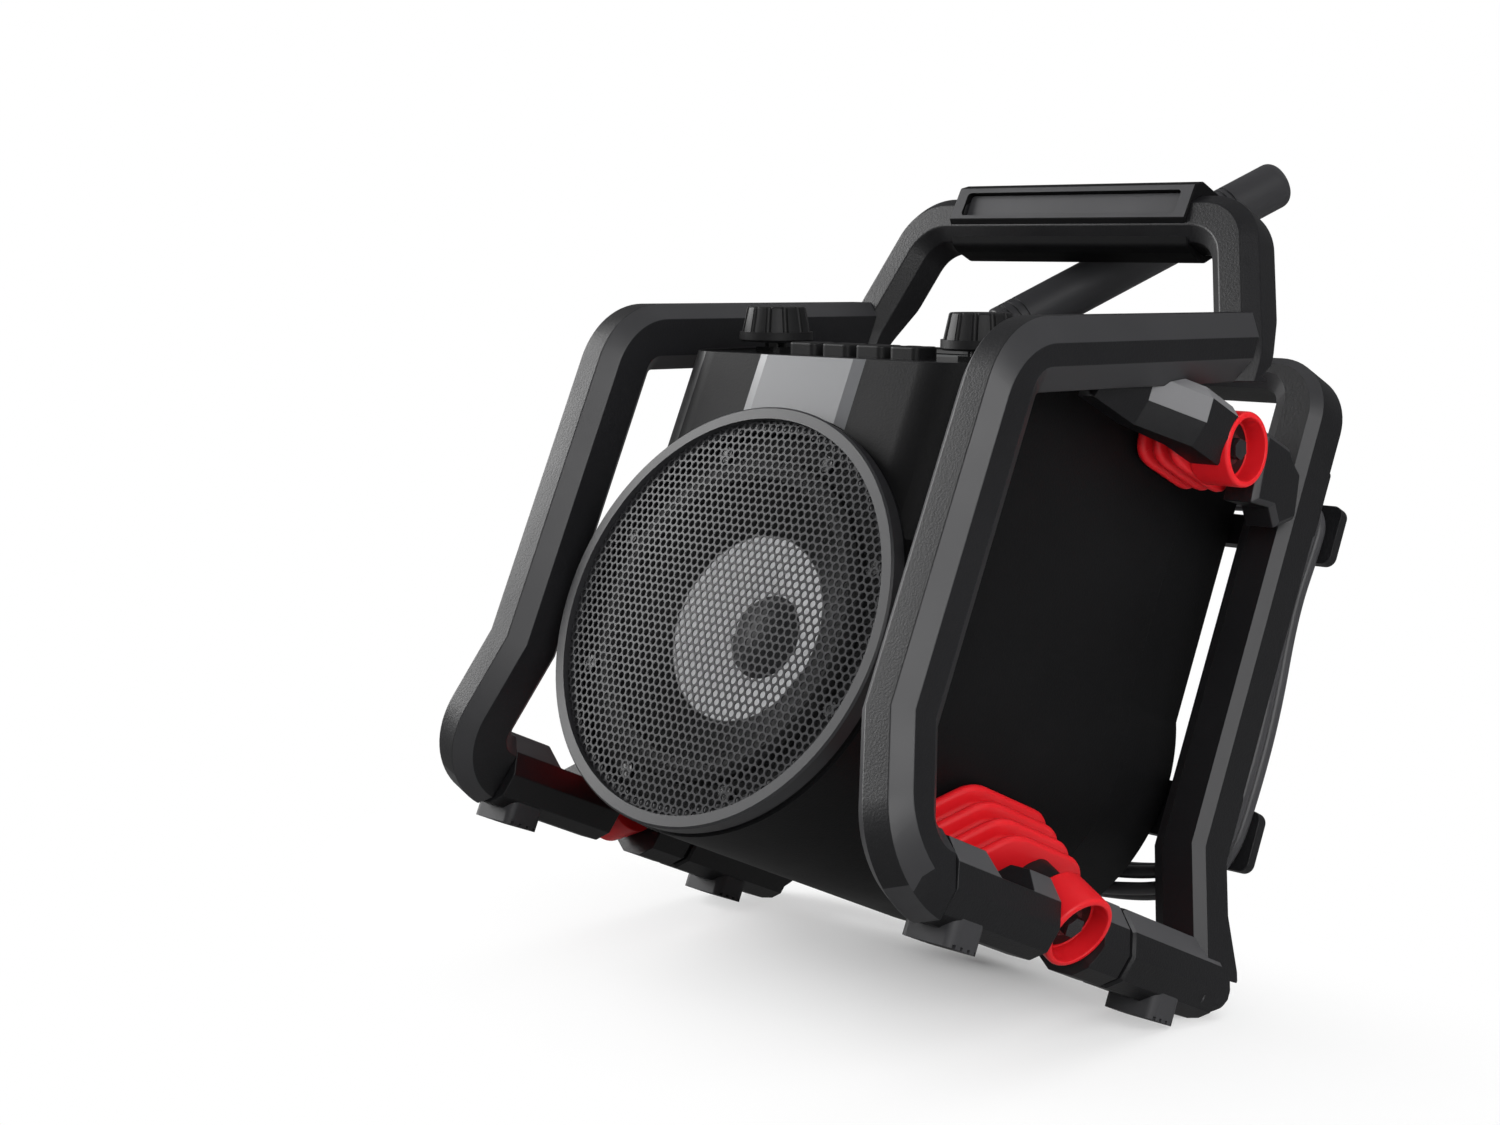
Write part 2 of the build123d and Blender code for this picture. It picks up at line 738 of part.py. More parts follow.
def front_corners(wall):
    """What rounding takes off the upright front corners, outside or in the lining."""
    reach = body_half_width - wall
    radius = body_corner_radius - wall
    with BuildPart() as off:
        with BuildSketch(Plane.XY.offset(speaker_z + body_half_width / 2)):
            for side in (-1, 1):
                with Locations((side * reach, body_front + wall)):
                    Rectangle(2 * radius, 2 * radius)
                with Locations((side * (reach - radius), body_front + wall + radius)):
                    Circle(radius, mode=Mode.SUBTRACT)
        extrude(amount=handle_top_z)
    return off


seam_y = baffle_y + body_seam
end_y = baffle_y + body_end
driver_bore = driver_radius + fit_gap
panel_middle = (0, panel_start + panel_length / 2)

with BuildPart() as front_lining:
    add(housing(body_wall, body_front + body_wall, seam_y).part)
    add(roof(body_wall + panel_recess + panel_thickness).part, mode=Mode.SUBTRACT)
    add(front_corners(body_wall).part, mode=Mode.SUBTRACT)

with BuildPart() as body_front_shell:
    add(housing(0, body_front, seam_y).part)
    add(front_corners(0).part, mode=Mode.SUBTRACT)
    add(roof(0).part, mode=Mode.SUBTRACT)
    with BuildSketch(rim_plane.offset(-panel_recess)):
        with Locations(panel_middle):
            RectangleRounded(panel_width, panel_length, panel_corner_radius)
    extrude(amount=panel_recess + handle_width, mode=Mode.SUBTRACT)
    add(front_lining.part, mode=Mode.SUBTRACT)
    with BuildSketch(rim_plane.offset(-panel_recess - panel_thickness - body_wall - fit_gap)):
        with Locations(panel_middle):
            Rectangle(panel_width - 2 * body_wall, panel_length - 2 * panel_corner_radius)
    extrude(amount=handle_width, mode=Mode.SUBTRACT)
    with BuildSketch(Plane.XZ.offset(-body_front)):
        with Locations((0, speaker_z)):
            Circle(driver_bore)
    extrude(amount=-2 * body_wall, mode=Mode.SUBTRACT)
save(body_front_shell, "body_front_shell")

draft = tan(radians(rear_draft)) * (body_end - body_seam)


def rear_form(wall):
    """The rear shell's outer or inner form, narrowing slightly to the rear."""
    with BuildPart() as form:
        sections = []
        for y, inset in ((seam_y, wall), (end_y - wall, wall + draft)):
            half_width = body_half_width - inset
            radius = body_radius - inset
            crease_z = speaker_z + sqrt(radius**2 - half_width**2)
            with BuildSketch(Plane.XZ.offset(-y)) as section:
                with BuildLine():
                    Polyline((half_width, crease_z), (half_width, handle_top_z),
                             (-half_width, handle_top_z), (-half_width, crease_z))
                    ThreePointArc((-half_width, crease_z), (0, speaker_z - radius),
                                  (half_width, crease_z))
                make_face()
            sections.append(section.sketch)
        loft(sections, ruled=True)
        add(roof(wall).part, mode=Mode.SUBTRACT)
    return form


with BuildPart() as body_rear_shell:
    add(rear_form(0).part)
    chamfer(faces().sort_by(Axis.Y)[-1].edges(), 3 * body_rim_bevel)
    add(rear_form(body_wall).part, mode=Mode.SUBTRACT)
save(body_rear_shell, "body_rear_shell")

with BuildPart() as front_strip:
    with BuildSketch(Plane.XY.offset(body_front_z)):
        with BuildLine():
            Polyline([
                (-strip_width / 2 - strip_bevel_width, body_front),
                (-strip_width / 2, body_front - strip_height),
                (strip_width / 2, body_front - strip_height),
                (strip_width / 2 + strip_bevel_width, body_front),
            ], close=True)
        make_face()
    extrude(amount=-(body_front_z - speaker_z))
    add(roof(0).part, mode=Mode.SUBTRACT)
    with BuildSketch(Plane.XZ.offset(-body_front)):
        with Locations((0, speaker_z)):
            Circle(bezel_radius + seam_gap)
    extrude(amount=body_setback, mode=Mode.SUBTRACT)
save(front_strip, "front_strip")


# ---- loudspeaker ------------------------------------------------------------
speaker_axis = Axis((0, baffle_y, speaker_z), (0, 1, 0))


def ring_about_speaker(profile):
    """Revolve a profile of (depth behind the bezel's face, radius) points."""
    with BuildPart() as ring:
        with BuildSketch(Plane(origin=(0, baffle_y, speaker_z), x_dir=(0, 1, 0), z_dir=(1, 0, 0))):
            with BuildLine():
                Polyline(profile, close=True)
            make_face()
        revolve(axis=speaker_axis)
    return ring


mesh_seat = mesh_setback + mesh_thickness
bezel_ring = ring_about_speaker([
    (0, mesh_radius), (0, bezel_radius - bezel_bevel), (bezel_bevel, bezel_radius),
    (bezel_depth, bezel_radius), (bezel_depth, mesh_radius - mesh_rim),
    (mesh_seat, mesh_radius - mesh_rim), (mesh_seat, mesh_radius),
])
save(bezel_ring, "bezel_ring")

speaker_collar = ring_about_speaker([
    (bezel_depth, driver_bore), (bezel_depth, collar_radius),
    (body_setback, collar_radius), (body_setback, driver_bore),
])
save(speaker_collar, "speaker_collar")

with BuildPart() as speaker_grille:
    with BuildSketch(Plane.XZ.offset(-(baffle_y + mesh_seat))):
        with Locations((0, speaker_z)):
            Circle(mesh_radius - running_gap)
        count = 2 * int(mesh_radius / mesh_pitch) + 3
        with Locations((0, speaker_z)):
            with HexLocations(mesh_pitch / 2, count, count) as places:
                pass
        open_radius = mesh_radius - mesh_rim - mesh_hole
        holes = [place for place in places.local_locations
                 if sqrt(place.position.X**2 + (place.position.Y - speaker_z)**2) < open_radius]
        with Locations(*holes):
            RegularPolygon(mesh_hole, 6, rotation=30, mode=Mode.SUBTRACT)
    extrude(amount=mesh_thickness)
save(speaker_grille, "speaker_grille")

cone_edge = driver_radius - surround_width
flange_back = driver_setback + driver_flange
neck_depth = driver_setback + cone_depth
basket = ring_about_speaker([
    (driver_setback, cone_edge), (driver_setback, driver_radius), (flange_back, driver_radius),
    (flange_back, driver_radius - 6), (basket_depth, magnet_radius),
    (basket_depth, magnet_radius - 5), (flange_back + 3, cone_edge),
])
save(basket, "speaker_basket")
surround = ring_about_speaker([
    (driver_setback, cone_edge + 3), (driver_setback - 2.5, cone_edge + 1.5),
    (driver_setback - 3.4, cone_edge - 3), (driver_setback - 2.5, cone_edge - 7.5),
    (driver_setback + 0.5, cone_edge - 9), (driver_setback + 1.7, cone_edge - 9),
    (driver_setback - 1.2, cone_edge - 7), (driver_setback - 2, cone_edge - 3),
    (driver_setback - 1, cone_edge), (driver_setback, cone_edge),
])
save(surround, "cone_surround")
speaker_cone = ring_about_speaker([
    (driver_setback + 1.7, cone_edge - 9), (driver_setback + 0.5, cone_edge - 9),
    (neck_depth, cone_neck_radius), (neck_depth + cone_wall, cone_neck_radius),
    (neck_depth + cone_wall + 1, cone_neck_radius + 2),
])
save(speaker_cone, "speaker_cone")
cap_radius = (cone_neck_radius**2 + dust_cap_height**2) / (2 * dust_cap_height)
cap_turn = asin(cone_neck_radius / cap_radius) / 2
cap_tip = neck_depth - dust_cap_height
with BuildPart() as dust_cap:
    with BuildSketch(Plane(origin=(0, baffle_y, speaker_z), x_dir=(0, 1, 0), z_dir=(1, 0, 0))):
        with BuildLine():
            ThreePointArc((neck_depth, cone_neck_radius),
                          (cap_tip + cap_radius * (1 - cos(cap_turn)), cap_radius * sin(cap_turn)),
                          (cap_tip, 0))
            Polyline((cap_tip, 0), (neck_depth + cone_wall, 0),
                     (neck_depth + cone_wall, cone_neck_radius), (neck_depth, cone_neck_radius))
        make_face()
    revolve(axis=speaker_axis)
save(dust_cap, "dust_cap")
magnet = ring_about_speaker([
    (neck_depth + cone_wall, 0), (neck_depth + cone_wall, cone_neck_radius - 1),
    (basket_depth, cone_neck_radius - 1), (basket_depth, magnet_radius),
    (basket_depth + magnet_depth, magnet_radius), (basket_depth + magnet_depth, 0),
])
save(magnet, "speaker_magnet")

with BuildPart() as driver_screws:
    with BuildSketch(Plane.XZ.offset(-(baffle_y + driver_setback))):
        with Locations((0, speaker_z)):
            with PolarLocations(driver_radius - 7, driver_screw_count, start_angle=22.5):
                Circle(driver_screw_radius)
    extrude(amount=1.8)
save(driver_screws, "driver_screws")


# ---- control panel, knobs and buttons ---------------------------------------
def on_panel(x, up, lift):
    """A plane parallel to the panel, at a place up the slope and a lift above the rim."""
    spot = rim_plane.from_local_coords((x, up, lift))
    return Plane(origin=spot, x_dir=rim_plane.x_dir, z_dir=rim_plane.z_dir)


panel_normal = Axis(rim_plane.origin, rim_plane.z_dir)
panel_top = -panel_recess + panel_thickness
board_top = -panel_recess - board_drop
button_places = [(place - (button_count - 1) / 2) * button_pitch for place in range(button_count)]
knob_places = [(side * knob_x, knob_up) for side in (-1, 1)]

with BuildPart() as control_panel:
    with BuildSketch(rim_plane.offset(-panel_recess)):
        with Locations(panel_middle):
            RectangleRounded(panel_width - 2 * running_gap, panel_length - 2 * running_gap,
                             panel_corner_radius - running_gap)
        with Locations([(x, button_up) for x in button_places]):
            RectangleRounded(button_width + 2 * fit_gap, button_length + 2 * fit_gap,
                             button_corner + fit_gap, mode=Mode.SUBTRACT)
        with Locations(knob_places):
            Circle(shaft_radius + running_gap, mode=Mode.SUBTRACT)
        with Locations((0, window_up)):
            RectangleRounded(window_width, window_length, 3, mode=Mode.SUBTRACT)
    extrude(amount=panel_thickness)
save(control_panel, "control_panel")

with BuildPart() as display_window:
    with BuildSketch(rim_plane.offset(-panel_recess)):
        with Locations((0, window_up)):
            RectangleRounded(window_width, window_length, 3)
    extrude(amount=panel_thickness - fit_gap)
    with BuildSketch(rim_plane.offset(-panel_recess)):
        with Locations((0, window_up)):
            Rectangle(window_width + 2 * body_wall, window_length + body_wall)
    extrude(amount=-board_thickness)
save(display_window, "display_window")

for number, x in enumerate(button_places, 1):
    flange_top = -panel_recess - fit_gap
    with BuildPart() as button:
        with BuildSketch(on_panel(x, button_up, flange_top)):
            RectangleRounded(button_width, button_length, button_corner)
        extrude(amount=button_lift - flange_top)
        fillet(faces().sort_by(panel_normal)[-1].edges(), 1)
        with Locations(on_panel(x, button_up, button_lift + dish_radius - dish_depth)):
            Sphere(dish_radius, mode=Mode.SUBTRACT)
        with BuildSketch(on_panel(x, button_up, flange_top)):
            RectangleRounded(button_width + 2, button_length + 2, button_corner)
        extrude(amount=-button_flange)
        with BuildSketch(on_panel(x, button_up, flange_top - button_flange)):
            Circle(2 * shaft_radius / 3)
        extrude(amount=flange_top - button_flange - board_top - button_travel - fit_gap,
                dir=-rim_plane.z_dir)
    save(button, f"button_{number}")

with BuildPart() as circuit_board:
    with BuildSketch(rim_plane.offset(board_top)):
        with Locations((0, panel_start + panel_corner_radius + board_length / 2)):
            Rectangle(board_width, board_length)
    extrude(amount=-board_thickness)
    with BuildSketch(rim_plane.offset(board_top)):
        with Locations(knob_places):
            Rectangle(knob_base_width, knob_base_width)
    extrude(amount=board_drop)
    with BuildSketch(rim_plane.offset(board_top)):
        with Locations((0, window_up)):
            Rectangle(window_width, window_length)
    extrude(amount=board_drop - board_thickness)
    with BuildSketch(rim_plane.offset(board_top + board_drop / 2)):
        with Locations(knob_places):
            Circle(shaft_radius + running_gap)
    extrude(amount=board_drop, mode=Mode.SUBTRACT)
save(circuit_board, "circuit_board")

with BuildPart() as knob_base:
    with BuildSketch(on_panel(knob_x, knob_up, panel_top)):
        Rectangle(knob_base_width, knob_base_width)
        chamfer(vertices(), 2)
    extrude(amount=knob_base_lift - panel_top)
    with BuildSketch(on_panel(knob_x, knob_up, panel_top)):
        Circle(collar_nut_radius)
    extrude(amount=collar_lift - panel_top)
    with BuildSketch(on_panel(knob_x, knob_up, panel_top)):
        Circle(shaft_radius + running_gap)
    extrude(amount=panel_recess + knob_lift, mode=Mode.SUBTRACT)
save_both([knob_base], "knob_bases")

shoulder_radius = knob_radius - 1.2
with BuildPart() as flute:
    with BuildSketch(Plane.XY.offset(knob_lift + knob_skirt)):
        with Locations((shoulder_radius, 0)):
            Circle(flute_radius)
    with BuildSketch(Plane.XY.offset(knob_lift + knob_height + 1)):
        with Locations((knob_top_radius, 0)):
            Circle(flute_radius)
    loft()

with BuildPart(on_panel(knob_x, knob_up, 0)) as knob:
    with BuildSketch(on_panel(knob_x, knob_up, knob_lift)):
        Circle(knob_radius)
    extrude(amount=knob_skirt)
    chamfer(edges().sort_by(panel_normal)[0], 1)
    with BuildSketch(on_panel(knob_x, knob_up, knob_lift + knob_skirt)):
        Circle(shoulder_radius)
    with BuildSketch(on_panel(knob_x, knob_up, knob_lift + knob_height)):
        Circle(knob_top_radius)
    loft()
    fillet(edges().sort_by(panel_normal)[-1], 1.2)
    with PolarLocations(0, flute_count):
        add(flute.part, mode=Mode.SUBTRACT)
    with BuildSketch(on_panel(knob_x, knob_up, knob_lift)):
        Circle(shaft_radius)
    extrude(amount=-(knob_lift + panel_recess + board_drop / 2 - fit_gap))
save_pair(knob, "knob")


# ---- aerial -----------------------------------------------------------------
crest_z = body_front_z + (body_crest - body_setback) * tan(panel_angle)
bearing = radians(aerial_bearing)
rise = radians(aerial_rise)
pivot = Vector(aerial_x, baffle_y + aerial_setback, crest_z + aerial_lift)
hinge_dir = Vector(cos(bearing), -sin(bearing), 0)
aerial_dir = Vector(sin(bearing) * cos(rise), cos(bearing) * cos(rise), sin(rise))
hinge_plane = Plane(origin=pivot, x_dir=aerial_dir, z_dir=hinge_dir)
rod_plane = Plane(origin=pivot, x_dir=hinge_dir, z_dir=aerial_dir)
turret_plane = Plane(origin=pivot - Vector(0, 0, aerial_lift), x_dir=hinge_dir, z_dir=(0, 0, 1))

with BuildPart() as aerial_turret:
    with BuildSketch(turret_plane):
        Circle(turret_radius)
    extrude(amount=turret_height)
    fillet(edges().sort_by(Axis.Z)[-1], 1.5)
    with BuildSketch(turret_plane.offset(turret_height / 2)):
        Rectangle(2 * fork_gap, 2 * fork_radius)
    extrude(amount=aerial_lift - turret_height / 2)
    with BuildSketch(hinge_plane):
        Circle(fork_radius)
    extrude(amount=fork_gap, both=True)
    with BuildSketch(turret_plane.offset(turret_height)):
        Rectangle(fork_gap, 2 * turret_radius)
    extrude(amount=2 * aerial_lift, mode=Mode.SUBTRACT)
    with BuildSketch(hinge_plane):
        Circle(aerial_pin_radius)
    extrude(amount=fork_gap / 2 + 1, both=True)
save(aerial_turret, "aerial_turret")

with BuildPart() as aerial_rod:
    with BuildSketch(hinge_plane):
        Circle(fork_radius - 1)
        with Locations((sleeve_start / 2, 0)):
            Rectangle(sleeve_start + 2, 2 * fork_radius - 2)
    extrude(amount=fork_gap / 2 - fit_gap, both=True)
    with BuildSketch(rod_plane.offset(sleeve_start)):
        Circle(aerial_radius)
    extrude(amount=aerial_length - sleeve_start)
    rod_axis = Axis(pivot, aerial_dir)
    fillet(edges().filter_by(GeomType.CIRCLE).sort_by(rod_axis)[-1], aerial_radius * 0.45)
    chamfer(edges().filter_by(lambda edge: abs(edge.radius - aerial_radius) < 0.01
                              if edge.geom_type == GeomType.CIRCLE else False)
            .sort_by(rod_axis)[0], 1.5)
    ring_places = [sleeve_start + 5 + place * ring_pitch for place in range(base_ring_count)]
    ring_places += [aerial_length - tip_ring_setback - place * tip_ring_pitch
                    for place in range(tip_ring_count)]
    for place in ring_places:
        with BuildSketch(rod_plane.offset(place)):
            Circle(aerial_radius + 1)
            Circle(aerial_radius - ring_depth, mode=Mode.SUBTRACT)
        extrude(amount=ring_width, mode=Mode.SUBTRACT)
    with BuildSketch(hinge_plane):
        Circle(aerial_pin_radius + running_gap)
    extrude(amount=fork_gap, both=True, mode=Mode.SUBTRACT)
save(aerial_rod, "aerial_rod")


# ---- rubber mounts in their cups --------------------------------------------
rim_places = (("lower", lower_rim), ("upper", upper_rim))
for place, rim in rim_places:
    save_pair(mount_cup(rim), f"{place}_cup")
save_both([mount_bolt(lower_rim), mount_bolt(upper_rim)], "mount_bolts")

with BuildPart() as lower_bellows:
    add(mount_bellows(lower_rim, lower_fin_count, lower_fin_start, lower_fin_pitch, lower_fin,
                      lower_fin_growth, lower_fin_cuts, lower_core_end).part)
    add(housing(0, body_front, end_y).part, mode=Mode.SUBTRACT)
save_pair(lower_bellows, "lower_bellows")
with BuildPart() as upper_bellows:
    add(mount_bellows(upper_rim, upper_fin_count, upper_fin_start, upper_fin_pitch, upper_fin,
                      upper_fin_growth, upper_fin_cuts, upper_cup_x - body_half_width).part)
save_pair(upper_bellows, "upper_bellows")

# ---- arms and lugs that carry the upper cups --------------------------------
arm_sections = []
for setback, inner_x, outer_x in zip(arm_setbacks, arm_inner_x, arm_outer_x):
    with BuildSketch(Plane.XZ.offset(-(front_y + setback))) as section:
        with BuildLine():
            Polyline([(inner_x, arm_z[0]), (outer_x - arm_slopes[0], arm_z[0]), (outer_x, arm_z[1]),
                      (outer_x, arm_z[2]), (outer_x - arm_slopes[1], arm_z[3]), (inner_x, arm_z[3])],
                     close=True)
        make_face()
    arm_sections.append(section.sketch)
with BuildPart() as upper_arm:
    loft(arm_sections, ruled=True)
    add(side_frame.part, mode=Mode.SUBTRACT)
    add(upper_bore.part, mode=Mode.SUBTRACT)
save_pair(upper_arm, "upper_arm")

with BuildPart() as upper_lug:
    extrude(closed_outline(
        Plane.YZ.offset(lug_face_x - lug_width),
        [(front_y + setback, z) for setback, z in lug_outline],
        [0 for _ in lug_outline],
    ), amount=lug_width)
    chamfer(faces().sort_by(Axis.X)[-1].edges(), lug_bevel)
    tongue_start = front_y + upper_mount_setback + cup_radius + 4
    with BuildSketch(Plane.XY.offset(lug_tongue_z[0])):
        with Locations((lug_face_x - lug_width, tongue_start)):
            Rectangle(lug_width / 2, rear_front + bar_bevel - tongue_start, align=(Align.MIN, Align.MIN))
    extrude(amount=lug_tongue_z[1] - lug_tongue_z[0])
    add(rear_frame.part, mode=Mode.SUBTRACT)
    add(upper_bore.part, mode=Mode.SUBTRACT)
save_pair(upper_lug, "upper_lug")


# ---- feet -------------------------------------------------------------------
rail_under = rail_piece(foot_seam, rear_setback)
feet = []
for setback in foot_setbacks:
    middle = (foot_x, front_y + setback + foot_length / 2)
    with BuildPart() as foot:
        with BuildSketch(Plane.XY):
            with Locations(middle):
                RectangleRounded(foot_width, foot_length, foot_corner_radius)
        extrude(amount=2 * rail_bottom_z)
        with BuildSketch(Plane.XY):
            with Locations(middle):
                with GridLocations(1, foot_groove_pitch, 1, foot_groove_count):
                    Rectangle(2 * foot_width, foot_groove)
        extrude(amount=foot_groove, mode=Mode.SUBTRACT)
        add(rear_frame.part, mode=Mode.SUBTRACT)
        add(rail_under.part, mode=Mode.SUBTRACT)
    feet.append(foot)
save_both(feet, "rubber_feet")


# ---- cord hooks -------------------------------------------------------------
hook_places = (("upper", upper_hook_z, strap_rises[0]), ("lower", lower_hook_z, strap_rises[1]))
for place, z, rise in hook_places:
    with BuildPart() as hook:
        with BuildSketch(Plane.XZ.offset(-(rear_face + strap_depth))):
            with Locations((hook_x + strap_shift, z + rise)):
                RectangleRounded(strap_width, strap_height, 3)
        extrude(amount=strap_depth)
        with BuildSketch(Plane.XZ.offset(-(rear_y - flange_depth))):
            with Locations((hook_x, z)):
                RectangleRounded(arm_width, arm_height, 2)
        extrude(amount=hook_reach - strap_depth - flange_depth)
        with BuildSketch(Plane.XZ.offset(-rear_y)):
            with Locations((hook_x + flange_shift, z)):
                RectangleRounded(flange_width, flange_height, 5)
        extrude(amount=flange_depth)
        fillet(faces().sort_by(Axis.Y)[-1].edges(), flange_edge)
    save_pair(hook, f"{place}_hook")


# ---- mains cord, wound round the four hooks ---------------------------------
winding_in_x = hook_x + arm_width / 2 + fit_gap
winding_out_x = winding_in_x + winding_width
winding_in_top = upper_hook_z + arm_height / 2 + fit_gap
winding_in_low = lower_hook_z - arm_height / 2 - fit_gap
winding_start = rear_face + strap_depth + fit_gap
winding_middle_y = winding_start + winding_depth / 2
sag_z = winding_in_low - winding_sag
with BuildPart() as cord_winding:
    extrude(closed_outline(
        Plane.XZ.offset(-(winding_start + winding_depth)),
        [(winding_out_x, winding_in_top + winding_width), (winding_out_x, winding_in_low - 4),
         (sag_x, sag_z), (-sag_x, sag_z), (-winding_out_x, winding_in_low - 4),
         (-winding_out_x, winding_in_top + winding_width)],
        [winding_width, winding_bend, sag_bend, sag_bend, winding_bend, winding_width],
    ), amount=winding_depth)
    extrude(closed_outline(
        Plane.XZ.offset(-(winding_start + winding_depth)),
        [(winding_in_x, winding_in_top), (winding_in_x, winding_in_low),
         (sag_x - winding_width, sag_z + winding_width),
         (-sag_x + winding_width, sag_z + winding_width),
         (-winding_in_x, winding_in_low), (-winding_in_x, winding_in_top)],
        [2, 4, sag_bend, sag_bend, 4, 2],
    ), amount=winding_depth, mode=Mode.SUBTRACT)
save(cord_winding, "cord_winding")

gland_z = sag_z + winding_width / 2
gland_end = winding_start - cord_diameter
with BuildPart() as cable_gland:
    with BuildSketch(Plane.XZ.offset(-gland_end)):
        with Locations((gland_x, gland_z)):
            Circle(cord_diameter / 2 + 2)
    with BuildSketch(Plane.XZ.offset(-end_y)):
        with Locations((gland_x, gland_z)):
            Circle(gland_radius)
    loft()
save(cable_gland, "cable_gland")

with BuildPart() as cord_lead:
    with BuildSketch(Plane.XZ.offset(-winding_start)):
        with Locations((gland_x, gland_z)):
            Circle(cord_diameter / 2)
    extrude(amount=winding_start - gland_end)
save(cord_lead, "cord_lead")

plug_plane = Plane(origin=(plug_x, winding_middle_y, winding_in_top - tail_length),
                   x_dir=(1, 0, 0), z_dir=(0, 0, -1))
with BuildPart() as cord_tail:
    with BuildSketch(plug_plane):
        Circle(cord_diameter / 2)
    extrude(amount=-tail_length)
save(cord_tail, "cord_tail")

with BuildPart() as plug:
    with BuildSketch(plug_plane):
        Circle(cord_diameter / 2 + 1.5)
    with BuildSketch(plug_plane.offset(plug_length * 0.45)):
        Circle(plug_radius)
    loft()
    with BuildSketch(plug_plane.offset(plug_length * 0.45)):
        Circle(plug_radius)
    extrude(amount=plug_length * 0.55)
    with BuildSketch(plug_plane.offset(plug_length)):
        with GridLocations(12.7, 1, 2, 1):
            Rectangle(1.6, 6.4)
        with Locations((0, 7.5)):
            Circle(2.4)
    extrude(amount=17)
save(plug, "plug")
print("cord: straight lead and tail, no bends outside the winding")
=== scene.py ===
# %% [markdown]
# # A jobsite radio, dressed one piece and one finish at a time
# A jobsite radio hangs its housing on rubber mounts inside a cage of moulded plastic bars, so
# that a drop from a scaffold board ends in the cage and not in the loudspeaker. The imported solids
# are the fixed frame of this file: each one stays where it is, and either gets its finish here or
# is replaced by a finer piece. All sizes are in metres, x to the right, y to the rear, z up.

import json
import math

import bmesh
import bpy
import numpy as np
from mathutils import Matrix


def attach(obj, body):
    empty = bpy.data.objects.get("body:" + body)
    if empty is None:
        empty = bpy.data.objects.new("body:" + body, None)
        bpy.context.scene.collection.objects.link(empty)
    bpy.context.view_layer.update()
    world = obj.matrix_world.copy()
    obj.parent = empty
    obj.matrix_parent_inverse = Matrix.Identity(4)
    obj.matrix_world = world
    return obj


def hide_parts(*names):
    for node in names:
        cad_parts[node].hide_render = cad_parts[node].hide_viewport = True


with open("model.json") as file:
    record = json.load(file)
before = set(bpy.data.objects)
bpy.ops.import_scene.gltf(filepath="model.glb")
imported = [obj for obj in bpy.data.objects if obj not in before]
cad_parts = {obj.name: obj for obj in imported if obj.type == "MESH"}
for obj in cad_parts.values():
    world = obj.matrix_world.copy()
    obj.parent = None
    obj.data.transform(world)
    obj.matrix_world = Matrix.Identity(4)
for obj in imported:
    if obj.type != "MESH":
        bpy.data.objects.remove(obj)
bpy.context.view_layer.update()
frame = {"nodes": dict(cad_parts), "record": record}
nodes = frame["nodes"]

# %% [markdown]
# ## The camera
# The radio is seen from its front right, from a little under its own floor level, so the front
# rails show their undersides. A camera can be aimed with a tracking constraint or turned with
# angles, but a matrix built from its own three axes says everything in one place: right, up, and
# the way back out of the lens. A 54 mm lens from a metre away keeps the near foot large. Blender
# keeps data, here a lens, apart from the object that shows it, so a first helper joins the two.

# %% The camera
FOCAL_MM, FILM_MM = 54.35, 36.0
LENS_RIGHT, LENS_UP = (0.7118, 0.6375, 0.2948), (-0.0997, -0.3238, 0.9409)
LENS_BACK, LENS_PLACE = (0.6953, -0.6991, -0.1669), (0.6813, -0.80125, -0.0286)


def shown(name, data):
    """An object that shows the data, linked to the scene at the origin."""
    obj = bpy.data.objects.new(name, data)
    bpy.context.collection.objects.link(obj)
    return obj


def axes_matrix(right, up, back, place):
    """A 4x4 matrix whose columns are three unit axes and a place."""
    turn = np.eye(4)
    turn[:3] = np.column_stack((right, up, back, place))
    return Matrix(turn.tolist())


lens = bpy.data.cameras.new("camera")
lens.lens, lens.sensor_width, lens.sensor_fit = FOCAL_MM, FILM_MM, "HORIZONTAL"
lens.clip_start, lens.clip_end = 0.01, 50
camera = shown("camera", lens)
camera.matrix_world = axes_matrix(LENS_RIGHT, LENS_UP, LENS_BACK, LENS_PLACE)
bpy.context.scene.camera = camera
print("camera at", [round(v, 3) for v in camera.location])

# %% [markdown]
# ## The mains cord on its four hooks
# The real cord is a round rubber cable of 6.5 mm, about three metres long, that the user winds
# round four hooks behind the radio. It could be simulated, but the hooks hold it, so its line is
# known: each turn lies in its own lane, two lanes wide and two deep, and slumps a little below
# the lower hooks. The control points of a turn are worked out for one lane and moved for the
# others.

# %% One turn of the cord
CORD = 0.0065
# right half of one turn at the hooks' own outline: x, z, and how much of the lane adds to x, z
half_turn = np.array([
    [0.004, 0.0655, 0.0, -1.0], [0.034, 0.0658, 0.0, -1.0], [0.062, 0.0672, 0.15, -0.95],
    [0.084, 0.0712, 0.3, -0.9], [0.1005, 0.0790, 0.45, -0.85], [0.1072, 0.0885, 0.95, -0.3],
    [0.1085, 0.1150, 1.0, 0.0], [0.1085, 0.1560, 1.0, 0.0], [0.1036, 0.2060, 1.0, 0.0],
    [0.1062, 0.2380, 1.0, 0.1], [0.1064, 0.2500, 1.0, 0.35], [0.1005, 0.2556, 0.3, 1.0],
    [0.0700, 0.2545, 0.0, 1.0], [0.0260, 0.2522, 0.0, 1.0],
])
SAG_POINTS, SIDE_POINTS = slice(0, 4), slice(6, 9)
BULGE = 0.35                                # how much of a turn's slack its sides take up


